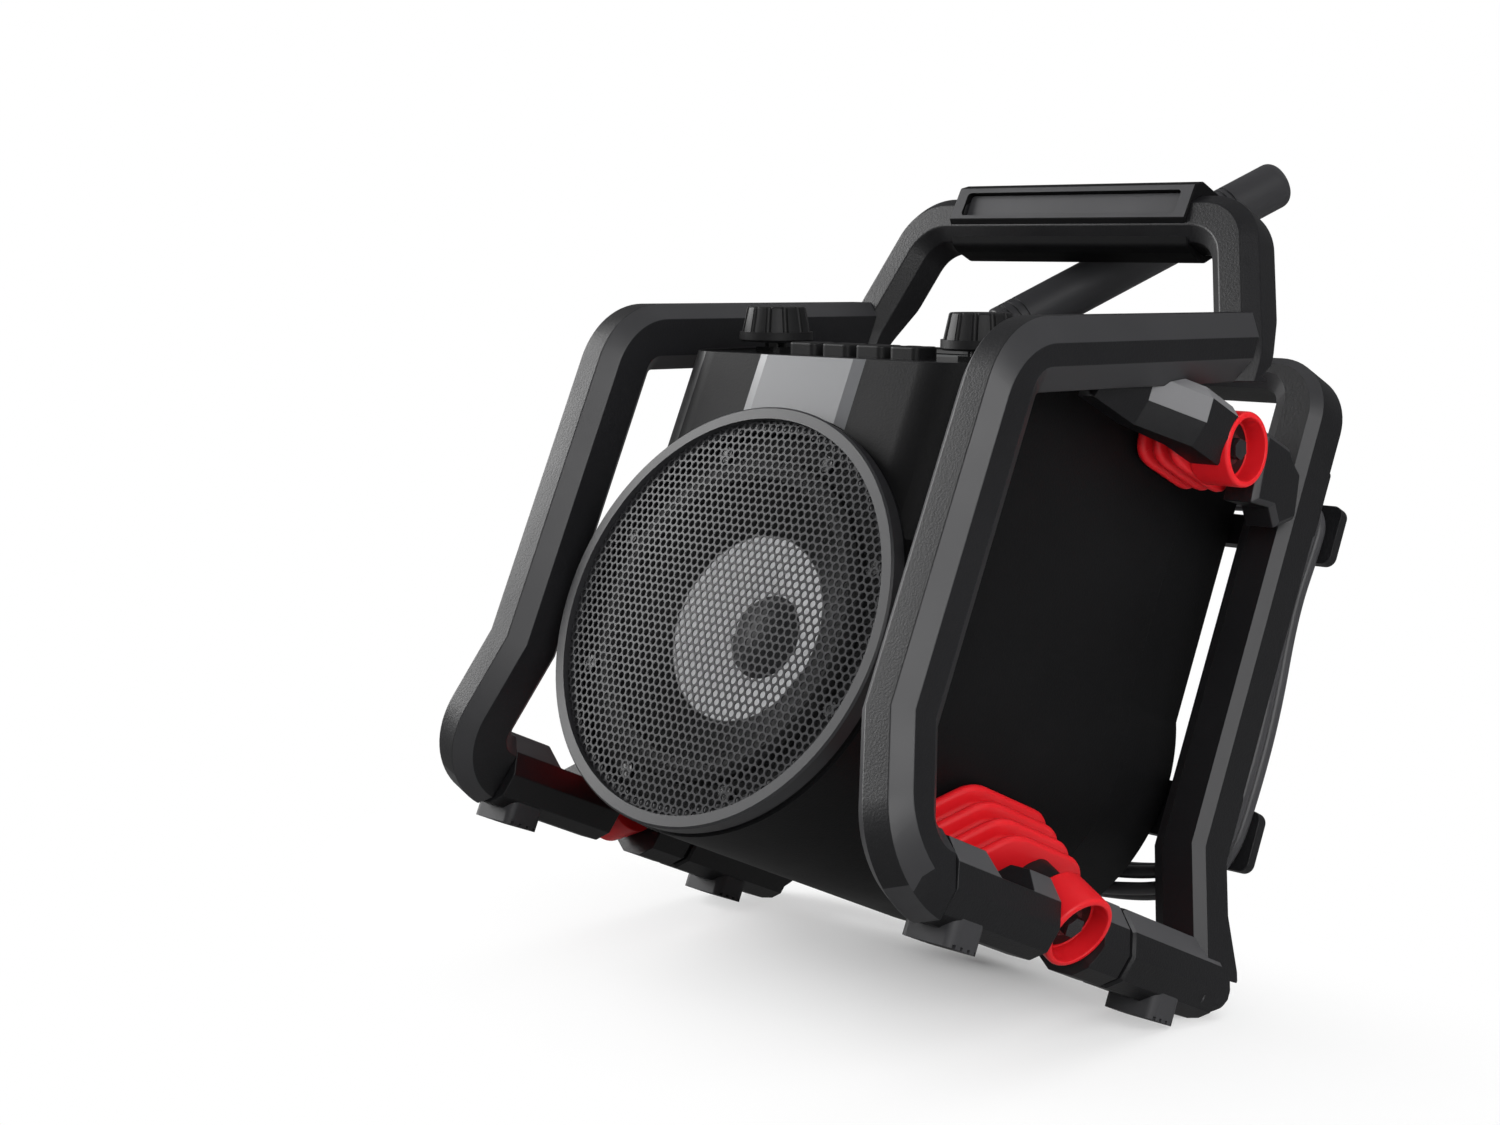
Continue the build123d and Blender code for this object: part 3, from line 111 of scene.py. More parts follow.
def turn_points(out, back, slack):
    """One turn seen from the rear: the right half going up, then its mirror going down. Each
    point is the outline's point plus the lane's distance outwards; slack deepens the sag."""
    right = half_turn.copy()
    right[SAG_POINTS, 1] -= slack
    right[SIDE_POINTS, 0] += BULGE * slack
    left = right[::-1] * (-1, 1, -1, 1)
    both = np.vstack((right, left))
    x, z = both[:, 0] + both[:, 2] * out, both[:, 1] + both[:, 3] * out
    return np.column_stack((x, np.full(len(x), back), z))


print("points in a turn", 2 * len(half_turn))

# %% [markdown]
# ## The cord's whole way
# One line runs from the gland, through four turns, to the plug. The step to the next lane is
# spread over the last points of a turn and the first of the next, because a cord that has been
# pulled tight crosses over gradually. The lead from the gland passes under all the turns.

# %% The cord's control points
lane_out = (0.0101, 0.0101, 0.0036, 0.0036)         # out from the hooks, one per turn
lane_back = (0.1241, 0.1310, 0.1310, 0.1241)        # rearward, one per turn
lane_slack = (0.0, 0.001, -0.005, -0.002)
STEP_BEFORE, STEP_AFTER = np.array([0.15, 0.3, 0.45]), np.array([0.4, 0.15])

turns = [turn_points(*lane) for lane in zip(lane_out, lane_back, lane_slack)]
for before, after in zip(turns[:-1], turns[1:]):
    before[-3:, 1] += (after[0, 1] - before[0, 1]) * STEP_BEFORE
    after[:2, 1] -= (after[0, 1] - before[0, 1]) * STEP_AFTER
turns[0][:2] = [[0.004, 0.1242, 0.0498], [0.034, 0.1242, 0.0532]]   # under the other turns
lead = [[-0.034, 0.11435, 0.0569], [-0.034, 0.1175, 0.0567], [-0.0318, 0.1208, 0.0545],
        [-0.0255, 0.1232, 0.0514], [-0.0130, 0.1241, 0.0494]]
tail = [[0.006, 0.1250, 0.2564], [-0.014, 0.1262, 0.2564], [-0.030, 0.1272, 0.2530],
        [-0.0405, 0.1276, 0.2440], [-0.044, 0.12765, 0.2310], [-0.044, 0.12765, 0.2105]]
LAST_TURN = 13                              # points of the last turn, which ends in the tail
cord_points = np.vstack((lead, turns[0], turns[1], turns[2], turns[3][:LAST_TURN], tail))
print("cord control points", len(cord_points))

# %% [markdown]
# ## The cord's line and its thickness
# A NURBS spline of order three cuts inside its control points, as a cable does round a hook.
# Before it gets a bevel, the curve gives its bare line as a mesh, which is measured here and
# followed by the strain relief later. Blender widens a curve's box by the radius of its points,
# so the cord's radius is set on the points, with a bevel of one: then the box fits the cord.

# %% The line, measured while it is bare
line = bpy.data.curves.new("mains_cord", "CURVE")
line.dimensions = "3D"
spline = line.splines.new("NURBS")
spline.points.add(len(cord_points) - 1)
spline.points.foreach_set("co", np.column_stack((cord_points, np.ones(len(cord_points)))).ravel())
spline.order_u = 3
spline.use_endpoint_u = True
spline.resolution_u = 10
mains_cord = shown("mains_cord", line)
bare = bpy.data.meshes.new_from_object(mains_cord)
cord_line = np.zeros(len(bare.vertices) * 3)
bare.vertices.foreach_get("co", cord_line)
cord_line = cord_line.reshape(-1, 3)
cord_steps = np.linalg.norm(np.diff(cord_line, axis=0), axis=1)
bpy.data.meshes.remove(bare)

# %% The cord rides on the radio
spline.points.foreach_set("radius", np.full(len(cord_points), CORD / 2))
line.bevel_depth = 1.0
line.bevel_resolution = 4
line.use_fill_caps = True
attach(mains_cord, "radio")
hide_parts("cord_winding", "cord_lead", "cord_tail")
print("cord diameter", CORD)

# %% [markdown]
# ## A small kit for finishes
# Every finish here starts from the real material's own numbers: its index of refraction, how
# rough its mould or die left it, and its colour as a paint chart would give it. Screens show
# sRGB, light adds up linearly, so one function turns the hex value into linear light. Another
# turns the real size of a grain in millimetres into the scale of a noise.

# %% Colour and grain
NOISE_LUMP = 2.2                            # one unit of the noise is this many lumps' widths


def scale_of(lump_mm):
    """The noise scale, in units per metre, whose lumps are lump_mm wide."""
    return 1000 / (NOISE_LUMP * lump_mm)


def linear(hexcode):
    """sRGB hex to linear: c/12.92 below 0.04045, else ((c + 0.055) / 1.055) to the power 2.4."""
    c = np.array([int(hexcode[i:i + 2], 16) / 255 for i in (1, 3, 5)])
    return (*np.where(c <= 0.04045, c / 12.92, ((c + 0.055) / 1.055) ** 2.4).tolist(), 1.0)


print("mid grey is", round(linear("#808080")[0], 3), "and 0.5 mm is", round(scale_of(0.5)))

# %% [markdown]
# ## Nodes without repeating
# A material is a tree of nodes, and each one takes three or four lines to make, set and join.
# One function does all three: it adds a node, sets what is named and joins what is given. Two
# more start an empty material and put a finished one on pieces.

# %% Nodes and materials
def add(tree, kind, joins=None, **settings):
    """Adds one node. A setting that is an attribute is set on the node, another on the input of
    that name (spaces as underscores). joins gives, per input name, the socket that feeds it."""
    node = tree.nodes.new(kind)
    for key, value in settings.items():
        if hasattr(node, key):
            setattr(node, key, value)
        else:
            node.inputs[key.replace("_", " ")].default_value = value
    for key, socket in (joins or {}).items():
        tree.links.new(socket, node.inputs[key])
    return node


def finish(name):
    """A fresh material with an empty node tree: returns both."""
    material = bpy.data.materials.new(name)
    material.use_nodes = True
    material.node_tree.nodes.clear()
    return material, material.node_tree


def wear(*names, material):
    """Gives CAD nodes or pieces a finish, in their only material slot."""
    for name in names:
        piece = nodes.get(name) or bpy.data.objects[name]
        piece.data.materials.clear()
        piece.data.materials.append(material)
    print(material.name, "on", len(names))


print("nodes to dress", len(nodes))

# %% [markdown]
# ## Moulded plastics
# The cage is glass-filled nylon, moulded in a tool whose walls were spark eroded, which leaves a
# pebbled grain that scatters the light and hides scratches. The housing is ABS with a shallower
# grain. Both are near black, so what the eye reads is the sheen: rough enough to spread a window
# into a soft patch. On the facets and on one corner of the housing, a lighter colour is painted on
# as sheen. A grain could be a picture of a real surface, but a noise on the object's own
# coordinates never stretches and needs no unwrapping. The real grain, 0.1 to 0.3 mm across, is
# too fine to show from a metre away, so it is drawn about half a millimetre wide.

# %% Grained plastic
def grained_plastic(name, colour, rubbed, grain_mm, depth_mm, rough, level=0.5):
    """A noise of the grain's size is the bump's height, from 0 to depth_mm. A slow noise, with
    patches of about 30 mm, goes from the colour to its rubbed tone and from gloss to dull."""
    material, tree = finish(name)
    place = add(tree, "ShaderNodeTexCoord").outputs["Object"]
    grain = add(tree, "ShaderNodeTexNoise", {"Vector": place}, Scale=scale_of(grain_mm),
                Detail=3.0, Roughness=0.55)
    cloud = add(tree, "ShaderNodeTexNoise", {"Vector": place}, Scale=scale_of(32.5), Detail=4.0,
                Roughness=0.6)
    tint = add(tree, "ShaderNodeValToRGB", {"Fac": cloud.outputs["Fac"]})
    for stop, at, shade in zip(tint.color_ramp.elements, (0.3, 0.75), (colour, rubbed)):
        stop.position, stop.color = at, linear(shade)
    gloss = add(tree, "ShaderNodeMapRange", {"Value": cloud.outputs["Fac"]}, From_Min=0.3,
                From_Max=0.7, To_Min=rough - 0.04, To_Max=rough + 0.05)
    bump = add(tree, "ShaderNodeBump", {"Height": grain.outputs["Fac"]}, Strength=1.0,
               Distance=depth_mm / 1000)
    shader = add(tree, "ShaderNodeBsdfPrincipled",
                 {"Base Color": tint.outputs["Color"], "Roughness": gloss.outputs["Result"],
                  "Normal": bump.outputs["Normal"]}, IOR=1.5, Specular_IOR_Level=level)
    add(tree, "ShaderNodeOutputMaterial", {"Surface": shader.outputs[0]})
    return material


print("cloud on plastic: noise scale", round(scale_of(32.5)))

# %% [markdown]
# ## The cage's nylon
# The broad faces of the bars are grained, and the sloped facets between them are polished in the
# tool. There is one grained nylon here and three smooth ones, lighter copies of it from dark to
# pale. A smooth facet has hardly any bump, and its lighter colour is painted sheen: the facets
# are picked by the way they face, and the more light a kind of facet catches, the paler its copy.

# %% Nylon, grained and smooth
# deep grain: the lamps become one wide, soft, dark grey patch
cage_nylon = grained_plastic("spark_grained_nylon", "#141416", "#1a1a1c", grain_mm=0.5,
                             depth_mm=0.12, rough=0.45, level=0.39)
# hardly any grain, and a painted sheen: the facets stand out as even, slightly lighter bands
facet_nylon = grained_plastic("nylon_facet_painted_sheen", "#2b2b2d", "#303032", grain_mm=0.3,
                              depth_mm=0.004, rough=0.42, level=0.6)
# the same facets on the lower blocks and rails, with a brighter painted highlight: a mid grey
highlight_painted_nylon = grained_plastic("nylon_facet_painted_highlight", "#434345", "#49494b", grain_mm=0.3,
                               depth_mm=0.004, rough=0.42, level=0.6)
# the upper arms' facets, with the strongest painted highlight: the lightest grey of the cage
strong_highlight_painted_nylon = grained_plastic("nylon_facet_painted_strong_highlight", "#6a6a6c", "#707072", grain_mm=0.3,
                             depth_mm=0.004, rough=0.42, level=0.6)
wear("rail_joints", material=cage_nylon)

# %% [markdown]
# ## The housing's ABS
# The housing, its ring, the strip above the ring and the control panel are all ABS, and differ
# by how their moulds were finished: grained, satin or polished. Only the colour, the depth of
# the grain and the roughness change from one to the next.

# %% ABS, from grained to polished
# dull and fine: no outline of a lamp shows in it
housing_abs = grained_plastic("fine_grained_abs", "#121213", "#161617", grain_mm=0.5,
                              depth_mm=0.08, rough=0.46, level=0.1)
# the housing's left front corner: the same grain, glossier, with a lighter colour painted on as
# sheen
painted_sheen_abs = grained_plastic("corner_abs_painted_sheen", "#2a2a2b", "#323233", grain_mm=0.6,
                            depth_mm=0.1, rough=0.36, level=1.0)
# satin: one soft highlight runs round the ring
ring_abs = grained_plastic("satin_moulded_abs", "#262628", "#2a2a2c", grain_mm=0.2,
                           depth_mm=0.006, rough=0.4, level=0.5)
# coloured grey in the mass, the one pale plastic on the radio
strip_abs = grained_plastic("grey_satin_abs", "#5f6062", "#656668", grain_mm=0.2,
                            depth_mm=0.004, rough=0.4)
# polished mould: a clear reflection on deep black
gloss_abs = grained_plastic("polished_black_abs", "#0e0e0f", "#111112", grain_mm=0.2,
                            depth_mm=0.002, rough=0.16)
wear("speaker_collar", "speaker_basket", "aerial_turret", material=housing_abs)
wear("bezel_ring", material=ring_abs)
wear("front_strip", material=strip_abs)
wear("control_panel", "knob_bases", material=gloss_abs)

# %% [markdown]
# ## Rubbers
# The grip, feet, aerial jacket and the mounts' bellows are moulded rubber, which differs from
# plastic by having almost no gloss and a fine bloom. The mounts are bright red silicone, where a
# little light goes in and comes out again, so their shadows stay warm.

# %% Rubber
def rubber(name, colour, bloom, rough, glow=0.0, level=0.35):
    """A slow cloud mixes the colour with its bloom, a 0.4 mm noise gives the skin its dull bump,
    and glow is the share of light scattered under the surface."""
    material, tree = finish(name)
    place = add(tree, "ShaderNodeTexCoord").outputs["Object"]
    skin = add(tree, "ShaderNodeTexNoise", {"Vector": place}, Scale=scale_of(0.413), Detail=2.0)
    cloud = add(tree, "ShaderNodeTexNoise", {"Vector": place}, Scale=scale_of(15.15), Detail=3.0)
    tint = add(tree, "ShaderNodeValToRGB", {"Fac": cloud.outputs["Fac"]})
    for stop, at, shade in zip(tint.color_ramp.elements, (0.35, 0.8), (colour, bloom)):
        stop.position, stop.color = at, linear(shade)
    bump = add(tree, "ShaderNodeBump", {"Height": skin.outputs["Fac"]}, Strength=0.6,
               Distance=0.00003)
    shader = add(tree, "ShaderNodeBsdfPrincipled",
                 {"Base Color": tint.outputs["Color"], "Normal": bump.outputs["Normal"]},
                 IOR=1.45, Specular_IOR_Level=level, Roughness=rough, Subsurface_Weight=glow,
                 Subsurface_Scale=0.002)
    add(tree, "ShaderNodeOutputMaterial", {"Surface": shader.outputs[0]})
    return material


print("skin of rubber: noise scale", round(scale_of(0.413)))

# %% Rubbers of the radio
# silicone: saturated, a little shine, light bleeds into the valleys between the ribs
red_silicone = rubber("red_silicone_rubber", "#d01820", "#d82028", rough=0.34, glow=0.1)
# carbon-filled rubber: plain matt black
black_rubber = rubber("black_moulded_rubber", "#161617", "#1b1b1c", rough=0.5)
# soft grip rubber: swallows nearly all light, the darkest thing on the radio
grip_rubber = rubber("soft_black_grip_rubber", "#0f0f10", "#131314", rough=0.6, level=0.08)
# the aerial's jacket: bloomed to a dark grey
aerial_rubber = rubber("dark_grey_jacket_rubber", "#2d2d2f", "#323234", rough=0.45)
# the feet, the grip's front and its plate: a dusty grey, lighter than the cage
foot_rubber = rubber("dark_grey_foot_rubber", "#39393b", "#404042", rough=0.5)
# the cord's jacket: extruded smooth, so a thin light line runs along each strand
cord_rubber = rubber("black_cord_rubber", "#39393b", "#3f3f41", rough=0.34, level=0.5)
wear("cone_surround", "plug", "knob_left", "knob_right", "button_1", "button_2", "button_3",
     "button_4", material=black_rubber)
wear("mains_cord", material=cord_rubber)

# %% [markdown]
# ## Steel
# The magnet is a ferrite ring with a zinc plated steel back, and the bolts and screws are
# blackened steel. Zinc is a metal to the shader, without a colour under its reflection; its
# spangle is a noise that only moves the roughness. Blackening is an oxide, which looks like a
# dark plastic with more shine, so the plastic's recipe makes it.

# %% Plated and blackened steel
def zinc_plate(name):
    """Bare metal whose roughness follows a noise with spangles of 0.65 mm."""
    material, tree = finish(name)
    place = add(tree, "ShaderNodeTexCoord").outputs["Object"]
    spangle = add(tree, "ShaderNodeTexNoise", {"Vector": place}, Scale=scale_of(0.65), Detail=2.0)
    gloss = add(tree, "ShaderNodeMapRange", {"Value": spangle.outputs["Fac"]}, To_Min=0.28,
                To_Max=0.42)
    shader = add(tree, "ShaderNodeBsdfPrincipled", {"Roughness": gloss.outputs["Result"]},
                 Base_Color=linear("#8e9094"), Metallic=1.0)
    add(tree, "ShaderNodeOutputMaterial", {"Surface": shader.outputs[0]})
    return material


# zinc: a cool grey with a broken, sparkling highlight
wear("speaker_magnet", material=zinc_plate("zinc_plated_steel"))
# oxide black: small sharp highlights on the heads of the bolts
black_steel = grained_plastic("blackened_steel", "#1d1d1f", "#252527", grain_mm=0.4,
                              depth_mm=0.004, rough=0.25, level=0.8)
wear("driver_screws", material=black_steel)

# %% [markdown]
# ## The loudspeaker's paper and paint
# The cone is pressed paper pulp, black at its edge and coated with silver mica in the middle,
# which is what shines through the screen. The step between the two is sharp, because the coat is
# sprayed through a mask: so the distance from the speaker's axis picks the colour. The screen's
# powder coat and the dope on the dust cap are films of plastic and take the plastic's recipe.

# %% Painted steel, coated paper and the dust cap
SPEAKER_Z = 0.1082
COAT_EDGE, COAT_FADE = 0.0415, 0.0008       # radius of the silver coat, width of its soft edge


def coated_pulp(name):
    """Silver within COAT_EDGE of the axis, black outside it; the distance is the length of
    (x, 0, z - SPEAKER_Z). Pulp fibres of half a millimetre are the bump."""
    material, tree = finish(name)
    place = add(tree, "ShaderNodeTexCoord").outputs["Object"]
    centred = add(tree, "ShaderNodeMapping", {"Vector": place}, Location=(0, 0, -SPEAKER_Z),
                  Scale=(1, 0, 1))
    reach = add(tree, "ShaderNodeVectorMath", {0: centred.outputs[0]}, operation="LENGTH")
    bare_pulp = add(tree, "ShaderNodeMapRange", {"Value": reach.outputs["Value"]},
                    From_Min=COAT_EDGE, From_Max=COAT_EDGE + COAT_FADE, To_Min=0.0, To_Max=1.0)
    coat = add(tree, "ShaderNodeMix", {"Factor": bare_pulp.outputs["Result"]}, data_type="RGBA")
    for socket, shade in ((6, "#f2f2f4"), (7, "#111112")):          # the two colour inputs
        coat.inputs[socket].default_value = linear(shade)
    fibres = add(tree, "ShaderNodeTexNoise", {"Vector": place}, Scale=scale_of(0.505), Detail=3.0)
    bump = add(tree, "ShaderNodeBump", {"Height": fibres.outputs["Fac"]}, Distance=0.00004)
    shader = add(tree, "ShaderNodeBsdfPrincipled",
                 {"Base Color": coat.outputs[2], "Normal": bump.outputs["Normal"]}, Roughness=0.4)
    add(tree, "ShaderNodeOutputMaterial", {"Surface": shader.outputs[0]})
    return material


# powder coat: even dark grey, a faint light on the side of each hole
grille_steel = grained_plastic("powder_coated_steel", "#2a2a2c", "#303032", grain_mm=0.25,
                               depth_mm=0.008, rough=0.42, level=0.32)
# mica: the bright disc behind the screen
wear("speaker_cone", material=coated_pulp("mica_coated_paper_pulp"))
# doped paper: a dark dome with a slight shine
wear("dust_cap", material=grained_plastic("doped_paper_dome", "#1f1f21", "#262628", grain_mm=0.6,
                                          depth_mm=0.02, rough=0.4))

# %% [markdown]
# ## Acrylic and fibreglass
# The display looks through smoked acrylic, and behind the panel sits a green board. These can
# hardly be seen, and still get their own finish, because a part in a library is looked at from
# every side and taken to pieces. The acrylic could be clear with a dark sheet behind, but at this
# thickness it only shows its surface, so an opaque gloss says the same.

# %% Smoked display and circuit board
def smoked_acrylic(name):
    """Opaque blue-black with a high gloss, hazed in patches of 7 to 8 mm as by a wiping thumb."""
    material, tree = finish(name)
    place = add(tree, "ShaderNodeTexCoord").outputs["Object"]
    haze = add(tree, "ShaderNodeTexNoise", {"Vector": place}, Scale=scale_of(7.58), Detail=3.0)
    gloss = add(tree, "ShaderNodeMapRange", {"Value": haze.outputs["Fac"]}, To_Min=0.04,
                To_Max=0.1)
    shader = add(tree, "ShaderNodeBsdfPrincipled", {"Roughness": gloss.outputs["Result"]},
                 Base_Color=linear("#1d2426"), IOR=1.49)
    add(tree, "ShaderNodeOutputMaterial", {"Surface": shader.outputs[0]})
    return material


# acrylic: mirrors the room, a touch of blue in the black
wear("display_window", material=smoked_acrylic("smoked_acrylic"))
# solder mask: a deep green with a wet shine
wear("circuit_board", material=grained_plastic(
    "solder_masked_fibreglass", "#0f3d1c", "#14481f", grain_mm=0.5, depth_mm=0.01, rough=0.3))

# %% [markdown]
# ## One cell of the perforated grille
# The real grille is a steel disc, punched with 3.2 mm round holes in staggered rows 3.4 mm apart
# and pressed into a shallow dome. A picture of holes would look flat at this angle, and cutting
# nineteen hundred holes with booleans takes minutes. Instead one hexagonal cell with its hole is
# drawn, of two rings with only twelve corners each, and arrays lay it on the rows.

# %% The cell and its rows
PITCH, HOLE, RIM = 0.00395, 0.00162, 0.0888         # step, radius of a hole, radius of the disc
DOME, GRILLE_Y = 0.0045, -0.12515                   # how far it bulges, where its rim sits
MOST_STEPS = 30                                     # from the middle: more than the disc holds


def cell_rings():
    """Twelve directions; the cell's edge lies at half the pitch over the cosine of the angle to
    the nearest flat, the hole at its radius. Returns an array of (2, 12, 2)."""
    angle = np.arange(12) * np.pi / 6
    to_flat = (angle + np.pi / 6) % (np.pi / 3) - np.pi / 6
    edge = PITCH / 2 / np.cos(to_flat)
    way = np.column_stack((np.cos(angle), np.sin(angle)))
    return np.stack([way * edge[:, None], way * HOLE])


def hexagonal_rows(radius):
    """Centres at whole steps of the pitch, every second row moved by half a step."""
    steps = np.arange(-MOST_STEPS, MOST_STEPS + 1)
    rows, columns = np.meshgrid(steps, steps, indexing="ij")
    x = (columns + 0.5 * (rows % 2)) * PITCH
    z = rows * PITCH * math.sqrt(3) / 2
    centres = np.column_stack((x.ravel(), z.ravel()))
    return centres[np.hypot(*centres.T) < radius]


centres = hexagonal_rows(RIM + 0.4 * PITCH)
print("cells", len(centres))

# %% [markdown]
# ## The cells become one face
# Cells that cross the rim are squeezed onto it, so the disc ends round. The flat pattern is
# lifted into a dome, equal corners are merged, and faces that the rim squeezed to nothing are
# dropped. Merging by rounded places is one call for all corners, where a loop would take long.

# %% Dome and merge
MERGE_STEPS = 5e5                           # per metre: corners within 2 micrometres are one
SLIVER = 2e-9                               # square metres, the least that a face keeps


def domed_cells():
    """Corners and quads of all cells. A corner beyond the rim moves in to it; the dome's height
    is DOME (1 - (r / RIM)^2), towards the front."""
    flat = centres[:, None, None, :] + cell_rings()[None]            # cell, ring, corner, xz
    reach = np.hypot(flat[..., 0], flat[..., 1])
    flat = flat * np.minimum(1, RIM / np.maximum(reach, 1e-9))[..., None]
    dome = DOME * (1 - (np.hypot(flat[..., 0], flat[..., 1]) / RIM) ** 2)
    points = np.stack((flat[..., 0], GRILLE_Y - dome, SPEAKER_Z + flat[..., 1]), -1)
    index = np.arange(points[..., 0].size).reshape(len(centres), 2, 12)
    after = np.roll(index, -1, axis=2)
    quads = np.stack((index[:, 0], after[:, 0], after[:, 1], index[:, 1]), -1)
    return points.reshape(-1, 3), quads.reshape(-1, 4)


def merged(points, quads):
    """Equal corners become one, by their rounded places."""
    first, same = np.unique(np.round(points * MERGE_STEPS).astype(np.int64), axis=0,
                            return_index=True, return_inverse=True)[1:]
    return points[first], same.reshape(-1)[quads]


def area(verts, faces):
    """Half the length of the cross product of a quad's diagonals."""
    a, b, c, d = (verts[faces[:, k]] for k in range(4))
    return 0.5 * np.linalg.norm(np.cross(c - a, d - b), axis=1)


corners, quads = merged(*domed_cells())
quads = quads[area(corners, quads) > SLIVER]
print("corners", len(corners), "faces", len(quads))

# %% [markdown]
# ## The sheet's thickness
# The face is copied to the back, and a wall is set under every edge that only one face uses, at
# the rim and round each hole, so that the sheet shows its thickness inside the holes too. A
# Solidify modifier could do this, but here the mesh is finished before anything reads it.

# %% Thickness
SHEET = 0.0007


def thickened(verts, faces, push):
    """A closed sheet: the faces, their copies moved by push and turned over, and a wall under
    each edge that only one face uses."""
    count = len(verts)
    edges = np.concatenate([faces[:, [k, (k + 1) % 4]] for k in range(4)])
    code = edges[:, 0] * np.int64(count) + edges[:, 1]
    back = edges[:, 1] * np.int64(count) + edges[:, 0]
    rim = edges[~np.isin(code, back) & (edges[:, 0] != edges[:, 1])]
    walls = np.column_stack((rim[:, 1], rim[:, 0], rim[:, 0] + count, rim[:, 1] + count))
    return np.vstack((verts, verts + push)), np.vstack((faces, faces[:, ::-1] + count, walls))


grille_verts, grille_faces = thickened(corners, quads, np.array([0, SHEET, 0]))
print("grille faces", len(grille_faces))

# %% [markdown]
# ## From arrays to a piece
# Every new piece takes the same last steps: its arrays become a mesh, the mesh is shaded, and
# the piece gets its finish and rides on a body. The grille is the first. Its faces stay flat,
# because a punched sheet is flat between its holes.

# %% Meshes and pieces
def mesh_of(name, verts, faces, smooth=None):
    """A mesh from points and a list of face arrays. smooth is the largest turn in degrees that
    is shaded over; without it the faces stay flat."""
    mesh = bpy.data.meshes.new(name)
    mesh.from_pydata(np.asarray(verts).tolist(), [], [f for part in faces for f in part.tolist()])
    mesh.validate()
    mesh.shade_flat()
    if smooth:
        mesh.shade_smooth()
        mesh.set_sharp_from_angle(angle=math.radians(smooth))
    print(name, len(mesh.polygons), "faces")
    return mesh


def piece_of(name, verts, faces, material, slot, body="radio", smooth=None):
    """A visible piece that rides on a body and wears the material it is given.
    slot is not used.
    """
    obj = shown(name, mesh_of(name, verts, faces, smooth))
    obj.data.materials.append(material)
    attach(obj, body)
    return obj


grille = piece_of("grille_disc", grille_verts, [grille_faces], grille_steel, "grille_metal")
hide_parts("speaker_grille")

# %% [markdown]
# ## Edges that catch the light
# A moulded part has no knife edge: every corner of the tool has a radius of half a millimetre or
# more, and it is this narrow band that draws a light line along a dark bar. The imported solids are
# loose triangles with sharp edges, and a bevel needs edges that two faces share. So a copy of
# each is merged and its flat neighbours are joined first, which leaves the real edges only.

# %% A merged copy
WELD, FLAT = 3e-6, 1.0                      # merging distance in metres, flatness in degrees


def frame_body(node):
    """The body that a node rides on, by the record."""
    bodies = frame["record"]["behaviour"]["bodies"]
    return next(body for body, held in bodies.items() if node in held)


def merged_copy(node):
    """The node's triangles with common corners, and flat neighbours joined into one face."""
    shape = bmesh.new()
    shape.from_mesh(nodes[node].data)
    bmesh.ops.remove_doubles(shape, verts=shape.verts, dist=WELD)
    bmesh.ops.dissolve_limit(shape, angle_limit=math.radians(FLAT), verts=shape.verts,
                             edges=shape.edges)
    mesh = bpy.data.meshes.new(node + "_dressed")
    shape.to_mesh(mesh)
    shape.free()
    return mesh


print("the aerial's rod rides on", frame_body("aerial_rod"))

# %% [markdown]
# ## The bevel and the facets
# A Bevel modifier rounds the merged edges, and a Weighted Normal modifier lets the wide faces set
# the shading, so that flat stays flat up to the rounding. The sloped facets of the bars get a
# finish of their own, and are found by the direction that their faces look in.

# %% A softened piece
def per_face(mesh, name):
    """The x, y and z arrays of a value that each face has, such as its normal."""
    values = np.zeros(len(mesh.polygons) * 3)
    mesh.polygons.foreach_get(name, values)
    return values.reshape(-1, 3).T


def softened(node, radius_mm, materials, facet=None, above=-1.0, segments=2, limit=24):
    """A merged copy whose edges are bevelled where they turn by more than the limit. The faces
    that facet(x, y, z) picks by their normals, above a height, take the second material."""
    mesh = merged_copy(node)
    for material in materials:
        mesh.materials.append(material)
    if facet is not None:
        picked = facet(*per_face(mesh, "normal")) & (per_face(mesh, "center")[2] > above)
        mesh.polygons.foreach_set("material_index", picked.astype(np.int32))
    mesh.shade_smooth()
    obj = shown(node + "_dressed", mesh)
    bevel = obj.modifiers.new("tool_radius", "BEVEL")
    bevel.width, bevel.segments, bevel.limit_method = radius_mm / 1000, segments, "ANGLE"
    bevel.angle_limit, bevel.harden_normals = math.radians(limit), True
    bevel.use_clamp_overlap = True
    steady = obj.modifiers.new("flat_faces_stay_flat", "WEIGHTED_NORMAL")
    steady.keep_sharp = True
    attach(obj, frame_body(node))
    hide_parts(node)
    return obj


def between(value, low, high):
    """True where a value lies between two limits, for whole arrays."""
    return (value > low) & (value < high)


print("faces at 45 degrees are picked:", between(math.sqrt(0.5), 0.25, 0.93))

# %% [markdown]
# ## Cage, housing and grip
# A normal is the direction that a face looks in. On the side frames a facet leans sideways, but
# less than the bar's own flank; on the lower blocks it leans out and up; on the rear frame it
# leans along y. So two limits on one or two of the normal's numbers are enough to find each.

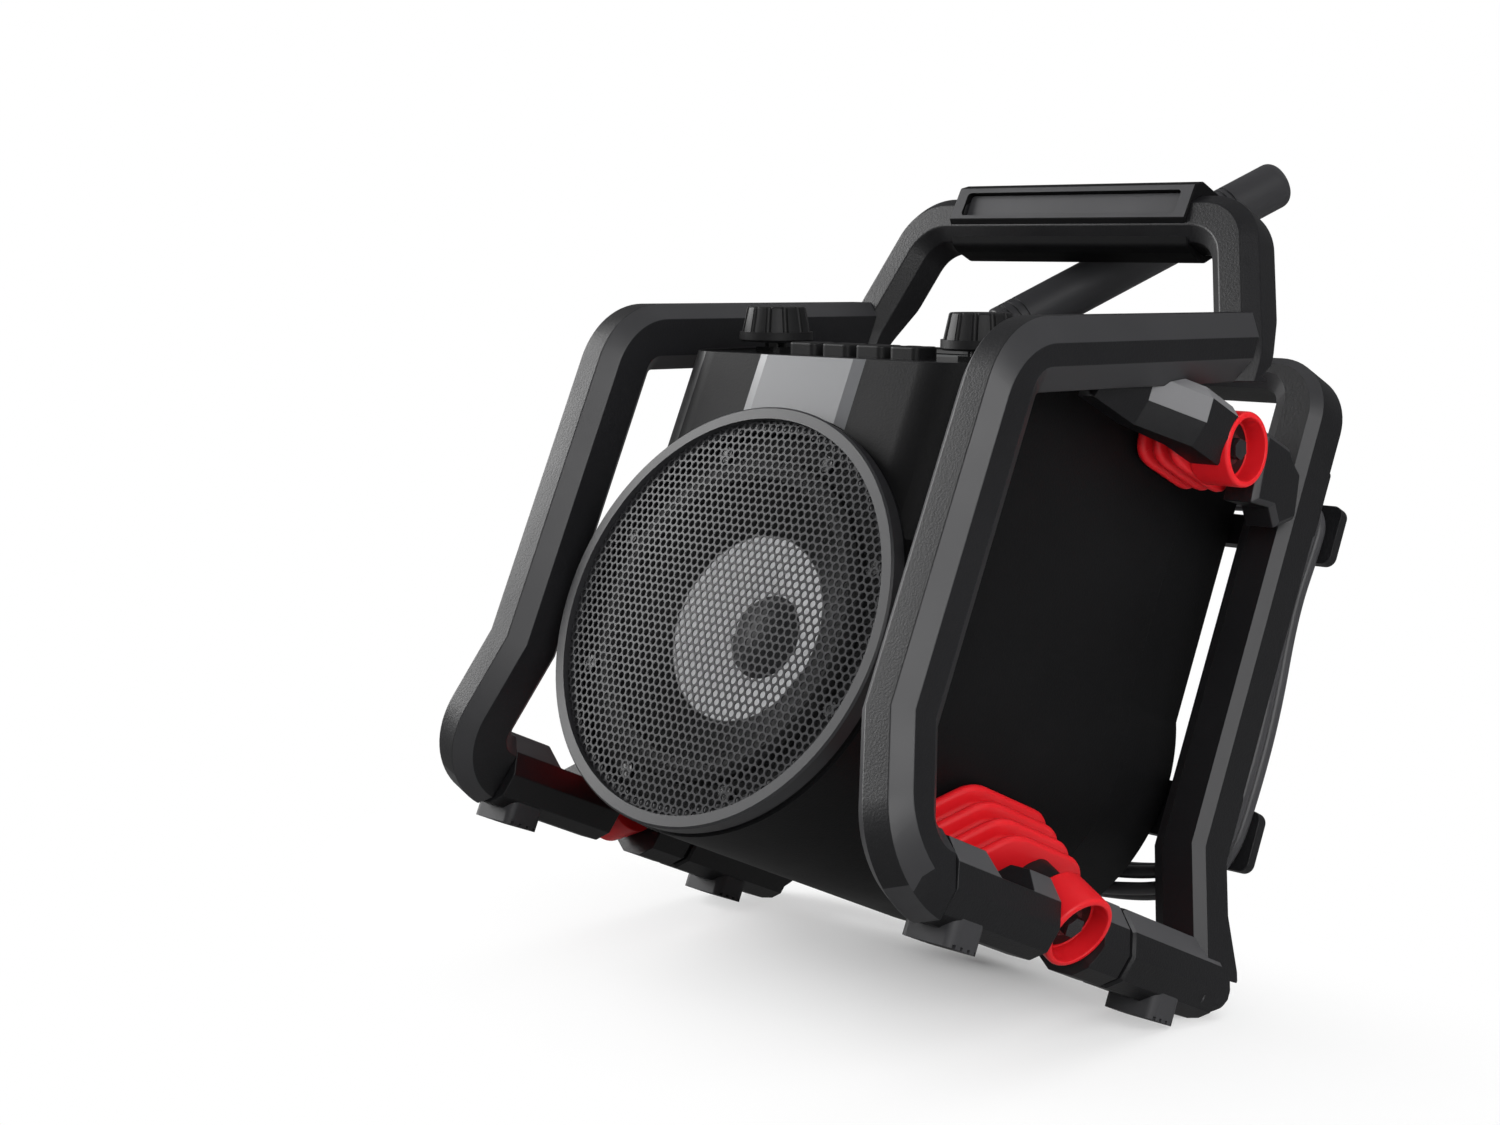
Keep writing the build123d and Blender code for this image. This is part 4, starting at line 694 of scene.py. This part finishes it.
# %% Softened cage
# the second finish of a cage piece is the painted sheen or highlight of its facets
grained_and_facet, grained_and_highlight_painted = (cage_nylon, facet_nylon), (cage_nylon, highlight_painted_nylon)
SIDES = (("left", -1), ("right", 1))
for side, sign in SIDES:
    softened(f"side_frame_{side}", 0.7, grained_and_facet,
             lambda x, y, z: between(abs(x), 0.25, 0.93))
    for name in ("lower_front_block", "lower_middle_block", "lower_rear_rail"):
        softened(f"{name}_{side}", 0.6, grained_and_highlight_painted,
                 lambda x, y, z: (abs(x) > 0.3) & (z > 0.3))
    softened(f"upper_arm_{side}", 0.6, (cage_nylon, strong_highlight_painted_nylon),
             lambda x, y, z, s=sign: between(x * s, 0.3, 0.97) & (z > -0.2))
    softened(f"upper_lug_{side}", 0.6, grained_and_facet,
             lambda x, y, z: between(abs(x), 0.3, 0.95))
    for name in ("upper_hook", "lower_hook"):
        softened(f"{name}_{side}", 0.5, (cage_nylon,))
softened("handle_bow", 0.7, (cage_nylon,))
softened("rear_frame", 0.7, grained_and_facet,
         lambda x, y, z: between(abs(y), 0.3, 0.95))

# %% Softened housing, feet and grip
GRIP_BAR_TOP = 0.362                        # the front of the grip is lighter only above this
# the faces that look left and forward, at the housing's left front corner, take the painted sheen
softened("body_front_shell", 0.5, (housing_abs, painted_sheen_abs),
         lambda x, y, z: (x < -0.25) & (y < -0.25))
softened("body_rear_shell", 0.5, (housing_abs,))
softened("rubber_feet", 0.8, (foot_rubber,), segments=3)
softened("handle_grip", 0.5, (grip_rubber, foot_rubber),
         lambda x, y, z: y < -0.85, above=GRIP_BAR_TOP)
softened("grip_plate", 0.4, (foot_rubber,))

# %% [markdown]
# ## Red rubber mounts
# The housing hangs on four mounts. Each has a bellows of moulded silicone, whose round ribs let
# it swing, threaded on a black core, and a cup whose rim shows in the cage's rail. A rib could be
# a plate with a bevel, but the real one is round over its whole height, so the bellows is one
# skin: the rib's outline, a rectangle with cut and rounded corners, carried along the mount's
# axis while it draws in between two ribs.

# %% Outline and skin
def rib_outline(half_width, half_height, cuts, radius=0.009, samples=7):
    """Eight corners, each replaced by the quadratic curve (1-t)^2 a + 2t(1-t) p + t^2 b between
    the points a and b that lie at the radius, or half an edge, before and after the corner p."""
    (top_cut, top_drop), (low_cut, low_rise) = cuts
    w, h = half_width, half_height
    p = np.array([(w, h - top_drop), (w - top_cut, h), (top_cut - w, h), (-w, h - top_drop),
                  (-w, low_rise - h), (low_cut - w, -h), (w - low_cut, -h), (w, low_rise - h)])
    edge = np.roll(p, -1, axis=0) - p
    length = np.linalg.norm(edge, axis=1)[:, None]
    step = edge / length * np.minimum(radius, 0.48 * length)
    a, b = p - np.roll(step, 1, axis=0), p + step
    t = np.linspace(0, 1, samples)[None, :, None]
    curve = (1 - t) ** 2 * a[:, None] + 2 * t * (1 - t) * p[:, None] + t ** 2 * b[:, None]
    return curve.reshape(-1, 2)


def drawn_in(outline, depth):
    """Moves each point of a closed, counter-clockwise outline inwards along its normal."""
    along = np.roll(outline, -1, axis=0) - np.roll(outline, 1, axis=0)
    along = along / np.linalg.norm(along, axis=1)[:, None]
    return outline - np.column_stack((along[:, 1], -along[:, 0])) * depth


def skin_of(rows):
    """Closed skin over rows of equal closed outlines: quads between them, a cap at each end."""
    count, around = rows.shape[:2]
    k = np.arange(count * around).reshape(count, around)
    after = np.roll(k, -1, axis=1)
    sides = np.stack((k[:-1], after[:-1], after[1:], k[1:]), -1).reshape(-1, 4)
    return rows.reshape(-1, 3), [sides, k[:1, ::-1], k[-1:]]


print("corners of a rib's outline", len(rib_outline(0.047, 0.017, ((0.01, 0.01), (0.01, 0.01)))))

# %% Ribs, cores and their place
RIB, VALLEY = 0.0026, 0.0068                # half a rib's thickness, depth between two ribs
LIP, SHOULDER = 0.0006, 0.0012              # the small step from a rib's foot into the valley


def bellows_rows(count, start, pitch, size, growth, cuts):
    """Across, up and along for every row. A rib is a half circle, along = RIB sin(a) and drawn in
    by RIB (1 - cos(a)); between two ribs the skin lies at the valley's depth."""
    angle = np.radians(np.linspace(90, -90, 9))[1:-1]
    foot, shoulder = RIB + LIP, VALLEY - SHOULDER
    turn_along = np.concatenate(([foot, RIB], RIB * np.sin(angle), [-RIB, -foot]))
    turn_depth = np.concatenate(([VALLEY, shoulder], RIB * (1 - np.cos(angle)),
                                 [shoulder, VALLEY]))
    rows = []
    for rib in range(count):
        outline = rib_outline(size[0] / 2 + rib * growth[0], size[1] / 2 + rib * growth[1], cuts)
        rows += [np.column_stack((drawn_in(outline, depth), np.full(len(outline), along)))
                 for depth, along in zip(turn_depth, turn_along - start - rib * pitch)]
    return np.array(rows)[::-1]


def lathe_rows(profile, count=48):
    """A profile of radius and along turned round the axis: across = r cos, up = r sin."""
    angle = np.arange(count) * 2 * np.pi / count
    r, along = np.array(profile).T[:, :, None]
    return np.stack((r * np.cos(angle), r * np.sin(angle), along + 0 * angle), -1)


def on_mount(rows, x, y, z, tilt, sign):
    """Across goes to the rear, up leans with the tilt, along points out of the cup's rim. The
    left mount is the right one mirrored, so its faces are turned over."""
    c, s = math.cos(math.radians(tilt)), math.sin(math.radians(tilt))
    axes = np.array([(0, 1, 0), (sign * s, 0, c), (sign * c, 0, -s)])
    verts, faces = skin_of(rows)
    verts = verts @ axes + (sign * x, y, z)
    return verts, [f if sign > 0 else f[:, ::-1] for f in faces]


print("a rib is", 2 * RIB, "m thick and stands", VALLEY, "m above its valley")

# %% [markdown]
# ## Four mounts from two descriptions
# The left mounts mirror the right ones, so only a lower and an upper mount are described: where
# the cup's rim sits and how it leans, how far in the core reaches, and its ribs. A rib grows from
# the last by the amounts in growth, and cuts are the chamfers at its top and bottom corners.

# %% Bellows, cores and washers
mounts = {
    "lower": {"seat": (0.147, -0.01575, 0.023, 25.8), "core_end": 0.078,
              "ribs": {"count": 4, "start": 0.0383, "pitch": 0.0102, "size": (0.094, 0.034),
                       "growth": (0.001, 0.0012), "cuts": ((0.022, 0.024), (0.014, 0.009))}},
    "upper": {"seat": (0.1345, 0.02705, 0.2517, 0.0), "core_end": 0.044,
              "ribs": {"count": 3, "start": 0.0230, "pitch": 0.0084, "size": (0.052, 0.032),
                       "growth": (0.0, 0.0), "cuts": ((0.0065, 0.0065), (0.0065, 0.0065))}},
}
CORE_RADIUS, CORE_START = 0.012, 0.0195
# radius and along: the thin ring that shows round the bolt in the cup
washer = lathe_rows([(0.0118, -0.0101), (0.0126, -0.0098), (0.0124, -0.0092), (0.0118, -0.0090)])

for tier, mount in mounts.items():
    core = lathe_rows([(CORE_RADIUS, -mount["core_end"]), (CORE_RADIUS, -CORE_START)])
    for side, sign in SIDES:
        node = f"{tier}_bellows_{side}"
        body = frame_body(node)
        skin = piece_of(node + "_skin",
                        *on_mount(bellows_rows(**mount["ribs"]), *mount["seat"], sign),
                        red_silicone, "red_rubber", body, smooth=50)
        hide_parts(node)
        for name, rows in (("core", core), ("washer", washer)):
            piece_of(f"{tier}_{name}_{side}", *on_mount(rows, *mount["seat"], sign),
                     black_rubber, "black_rubber", body, smooth=40)
        softened(f"{tier}_cup_{side}", 1.2, (red_silicone,), segments=3)
softened("mount_bolts", 0.5, (black_steel,))
softened("aerial_rod", 2.0, (aerial_rubber,), segments=4, limit=50)

# %% [markdown]
# ## Strain relief
# Where the cord leaves the housing, a moulded sleeve keeps it from being bent sharply. It is
# thick at the gland, thin at its end, and has shallow grooves that let it flex. It follows the
# cord's own line: rings are set square to its first two centimetres and skinned over.

# %% The sleeve along the cord
SLEEVE, RINGS, GROOVE = 0.024, 25, 0.0007


def rings_along(middle, radius, count=32):
    """Circles square to a path: middle + radius (cos(a) u + sin(a) v), where u is square to the
    path and to the vertical, and v to the path and u."""
    ahead = np.gradient(middle, axis=0)
    ahead = ahead / np.linalg.norm(ahead, axis=1)[:, None]
    u = np.cross(ahead, (0.0, 0.0, 1.0))
    u = u / np.linalg.norm(u, axis=1)[:, None]
    v = np.cross(ahead, u)
    angle = (np.arange(count) * 2 * np.pi / count)[None, :, None]
    circle = np.cos(angle) * u[:, None] + np.sin(angle) * v[:, None]
    return middle[:, None] + radius[:, None, None] * circle


walked = np.concatenate(([0], np.cumsum(cord_steps)))
stations = np.linspace(0, SLEEVE, RINGS)
sleeve_middle = np.column_stack([np.interp(stations, walked, axis) for axis in cord_line.T])
sleeve_radius = np.interp(stations, [0, 0.003, SLEEVE], [0.0074, 0.0070, 0.0041])
sleeve_radius -= GROOVE * (np.arange(RINGS) % 4 == 3)
sleeve = piece_of("strain_relief", *skin_of(rings_along(sleeve_middle, sleeve_radius)),
                  black_rubber, "black_rubber", smooth=60)
gland = softened("cable_gland", 0.6, (black_rubber,))

# %% [markdown]
# ## The room
# A plain white room fills the shadows. It could be one strength for all rays, but then either
# the background is grey or the black plastic turns milky. So a Light Path node tells the rays
# apart: the camera sees pure white, while diffuse light and reflections get a small part of it.

# %% The world
WHITE = linear("#ffffff")
ROOM, MIRRORED, SEEN = 0.24, 0.14, 1.0      # strengths for diffuse, glossy and camera rays
world = bpy.data.worlds.new("white_room")
bpy.context.scene.world = world
world.use_nodes = True
tree = world.node_tree
tree.nodes.clear()


def ray_kinds(tree):
    """The Light Path's outputs, and one for what the camera sees, also through a clear shader:
    the larger of its camera and transmission outputs."""
    rays = add(tree, "ShaderNodeLightPath").outputs
    seen = add(tree, "ShaderNodeMath", {0: rays["Is Camera Ray"], 1: rays["Is Transmission Ray"]},
               operation="MAXIMUM")
    return rays, seen.outputs[0]


rays, seen = ray_kinds(tree)
room, mirrored, white = (add(tree, "ShaderNodeBackground", Color=WHITE, Strength=power)
                         for power in (ROOM, MIRRORED, SEEN))
unseen = add(tree, "ShaderNodeMixShader", {0: rays["Is Glossy Ray"], 1: room.outputs[0],
                                           2: mirrored.outputs[0]})
both = add(tree, "ShaderNodeMixShader", {0: seen, 1: unseen.outputs[0], 2: white.outputs[0]})
add(tree, "ShaderNodeOutputWorld", {"Surface": both.outputs[0]})
bpy.context.scene.view_settings.view_transform = "Standard"
print("world set")

# %% [markdown]
# ## The lamps
# One large soft lamp stands in front and to the left, and the front faces catch it as a soft
# sheen. A weaker one in front and to the right picks out the facets. Two more only brighten:
# they are hidden from glossy rays, or each would draw its own outline on the polished panel.

# %% Four softboxes
def softbox(name, place, target, size, watts, mirrored=True):
    """A square lamp at a place, its back axis pointing from the target to it."""
    back = np.array(place) - np.array(target)
    back = back / np.linalg.norm(back)
    right = np.cross((0, 0, 1), back)
    right = right / np.linalg.norm(right)
    lamp = bpy.data.lights.new(name, "AREA")
    lamp.shape, lamp.size, lamp.energy = "SQUARE", size, watts
    obj = shown(name, lamp)
    obj.matrix_world = axes_matrix(right, np.cross(back, right), back, place)
    obj.visible_glossy = mirrored
    print(name, watts, "W")


softbox("key_lamp", (-1.62, -0.80, 0.48), target=(0, -0.05, 0.2), size=1.3, watts=44)
softbox("facet_lamp", (1.25, -1.22, 0.55), target=(0, -0.05, 0.2), size=1.1, watts=13)
softbox("right_fill", (1.7, -0.25, 0.9), target=(0, 0, 0.2), size=1.4, watts=13, mirrored=False)
softbox("top_lamp", (0.1, 0.25, 1.9), target=(0, 0, 0.1), size=1.5, watts=22, mirrored=False)

# %% [markdown]
# ## A floor for a camera below it
# The floor is white by its own colour and keeps the shadow. Because the camera stands slightly
# below it, both sheets here are made to be seen only from above: the flat floor, which the feet
# stand on, and a lower one that falls away towards the camera and carries the shadow that it
# sees. Paint alone would turn grey where the lamps fall off, so away from the radio a glow takes
# over from the paint.

# %% White from above, clear from below
# painted shade: the glow thins towards an ellipse under the radio, so only there the floor is lit
# paint and shows the lamps' shadow
SHADOW_X, SHADOW_Y, SHADOW_WIDE = 0.025, 0.09, 2    # middle of the shadow, width over depth
SHADOW_REACH, GLOW_RISE = 0.22, 0.52        # where the glow is full, and the power it rises with
MIRRORED_FLOOR = 0.2                        # how bright the floor is in a reflection


def one_sided_white(name):
    """The camera sees paint + share (glow - paint), where share is the distance from the middle
    of the shadow over its reach, to a power: a painted shade, an ellipse under the radio that
    keeps the lamps' shadow within it and fades it out. Backfacing mixes in a transparent shader
    below."""
    material, tree = finish(name)
    rays, seen = ray_kinds(tree)
    place = add(tree, "ShaderNodeTexCoord").outputs["Object"]
    under = add(tree, "ShaderNodeMapping", {"Vector": place},
                Location=(-SHADOW_X / SHADOW_WIDE, -SHADOW_Y, 0), Scale=(1 / SHADOW_WIDE, 1, 0))
    away = add(tree, "ShaderNodeVectorMath", {0: under.outputs[0]}, operation="LENGTH")
    reach = add(tree, "ShaderNodeMapRange", {"Value": away.outputs["Value"]},
                From_Max=SHADOW_REACH)
    share = add(tree, "ShaderNodeMath", {0: reach.outputs["Result"]}, operation="POWER")
    share.inputs[1].default_value = GLOW_RISE
    paint = add(tree, "ShaderNodeBsdfDiffuse", Color=linear("#f2f2f2"))
    glow = add(tree, "ShaderNodeEmission", Color=WHITE, Strength=1.0)
    lit = add(tree, "ShaderNodeMixShader", {0: share.outputs[0], 1: paint.outputs[0],
                                            2: glow.outputs[0]})
    mirrored = add(tree, "ShaderNodeEmission", Color=WHITE, Strength=MIRRORED_FLOOR)
    plain = add(tree, "ShaderNodeMixShader", {0: rays["Is Glossy Ray"], 1: paint.outputs[0],
                                              2: mirrored.outputs[0]})
    white = add(tree, "ShaderNodeMixShader", {0: seen, 1: plain.outputs[0], 2: lit.outputs[0]})
    side = add(tree, "ShaderNodeNewGeometry").outputs["Backfacing"]
    clear = add(tree, "ShaderNodeBsdfTransparent")
    both = add(tree, "ShaderNodeMixShader", {0: side, 1: white.outputs[0], 2: clear.outputs[0]})
    add(tree, "ShaderNodeOutputMaterial", {"Surface": both.outputs[0]})
    return material


print("glow is full", SHADOW_REACH, "m before and", SHADOW_REACH * SHADOW_WIDE, "m beside it")

# %% The floor and the lower sheet
FALL, RISE = 0.46, 0.30                     # slopes before and behind the rear feet
CREASE_Y, CREASE, DROP = 0.073, 0.006, 0.0005       # place, softness, depth below the feet
REACH = 6.0


def sloped(y):
    """Falls towards the front and rises to the rear: two runs joined by a hyperbola, so that
    height = mean slope q - half the difference (sqrt(q^2 + CREASE^2) - CREASE) - DROP. From
    behind, the rise shows its clear side."""
    q = y - CREASE_Y
    bend = np.sqrt(q ** 2 + CREASE ** 2) - CREASE
    return (FALL + RISE) / 2 * q - (FALL - RISE) / 2 * bend - DROP


def sheet_of(name, height, ny):
    """A grid over x and y whose height is a function of y: one strip wide, ny rows deep."""
    x, y = np.meshgrid(np.linspace(-REACH, REACH, 2), np.linspace(-REACH, REACH, ny))
    verts = np.column_stack((x.ravel(), y.ravel(), height(y).ravel()))
    k = np.arange(2 * ny).reshape(ny, 2)
    faces = np.stack((k[:-1, :-1], k[:-1, 1:], k[1:, 1:], k[1:, :-1]), -1).reshape(-1, 4)
    obj = shown(name, mesh_of(name, verts, [faces], smooth=90))
    obj.data.materials.append(one_sided_white(name + "_white"))


sheet_of("floor", lambda y: y * 0, 2)
sheet_of("lower_sheet", sloped, 601)
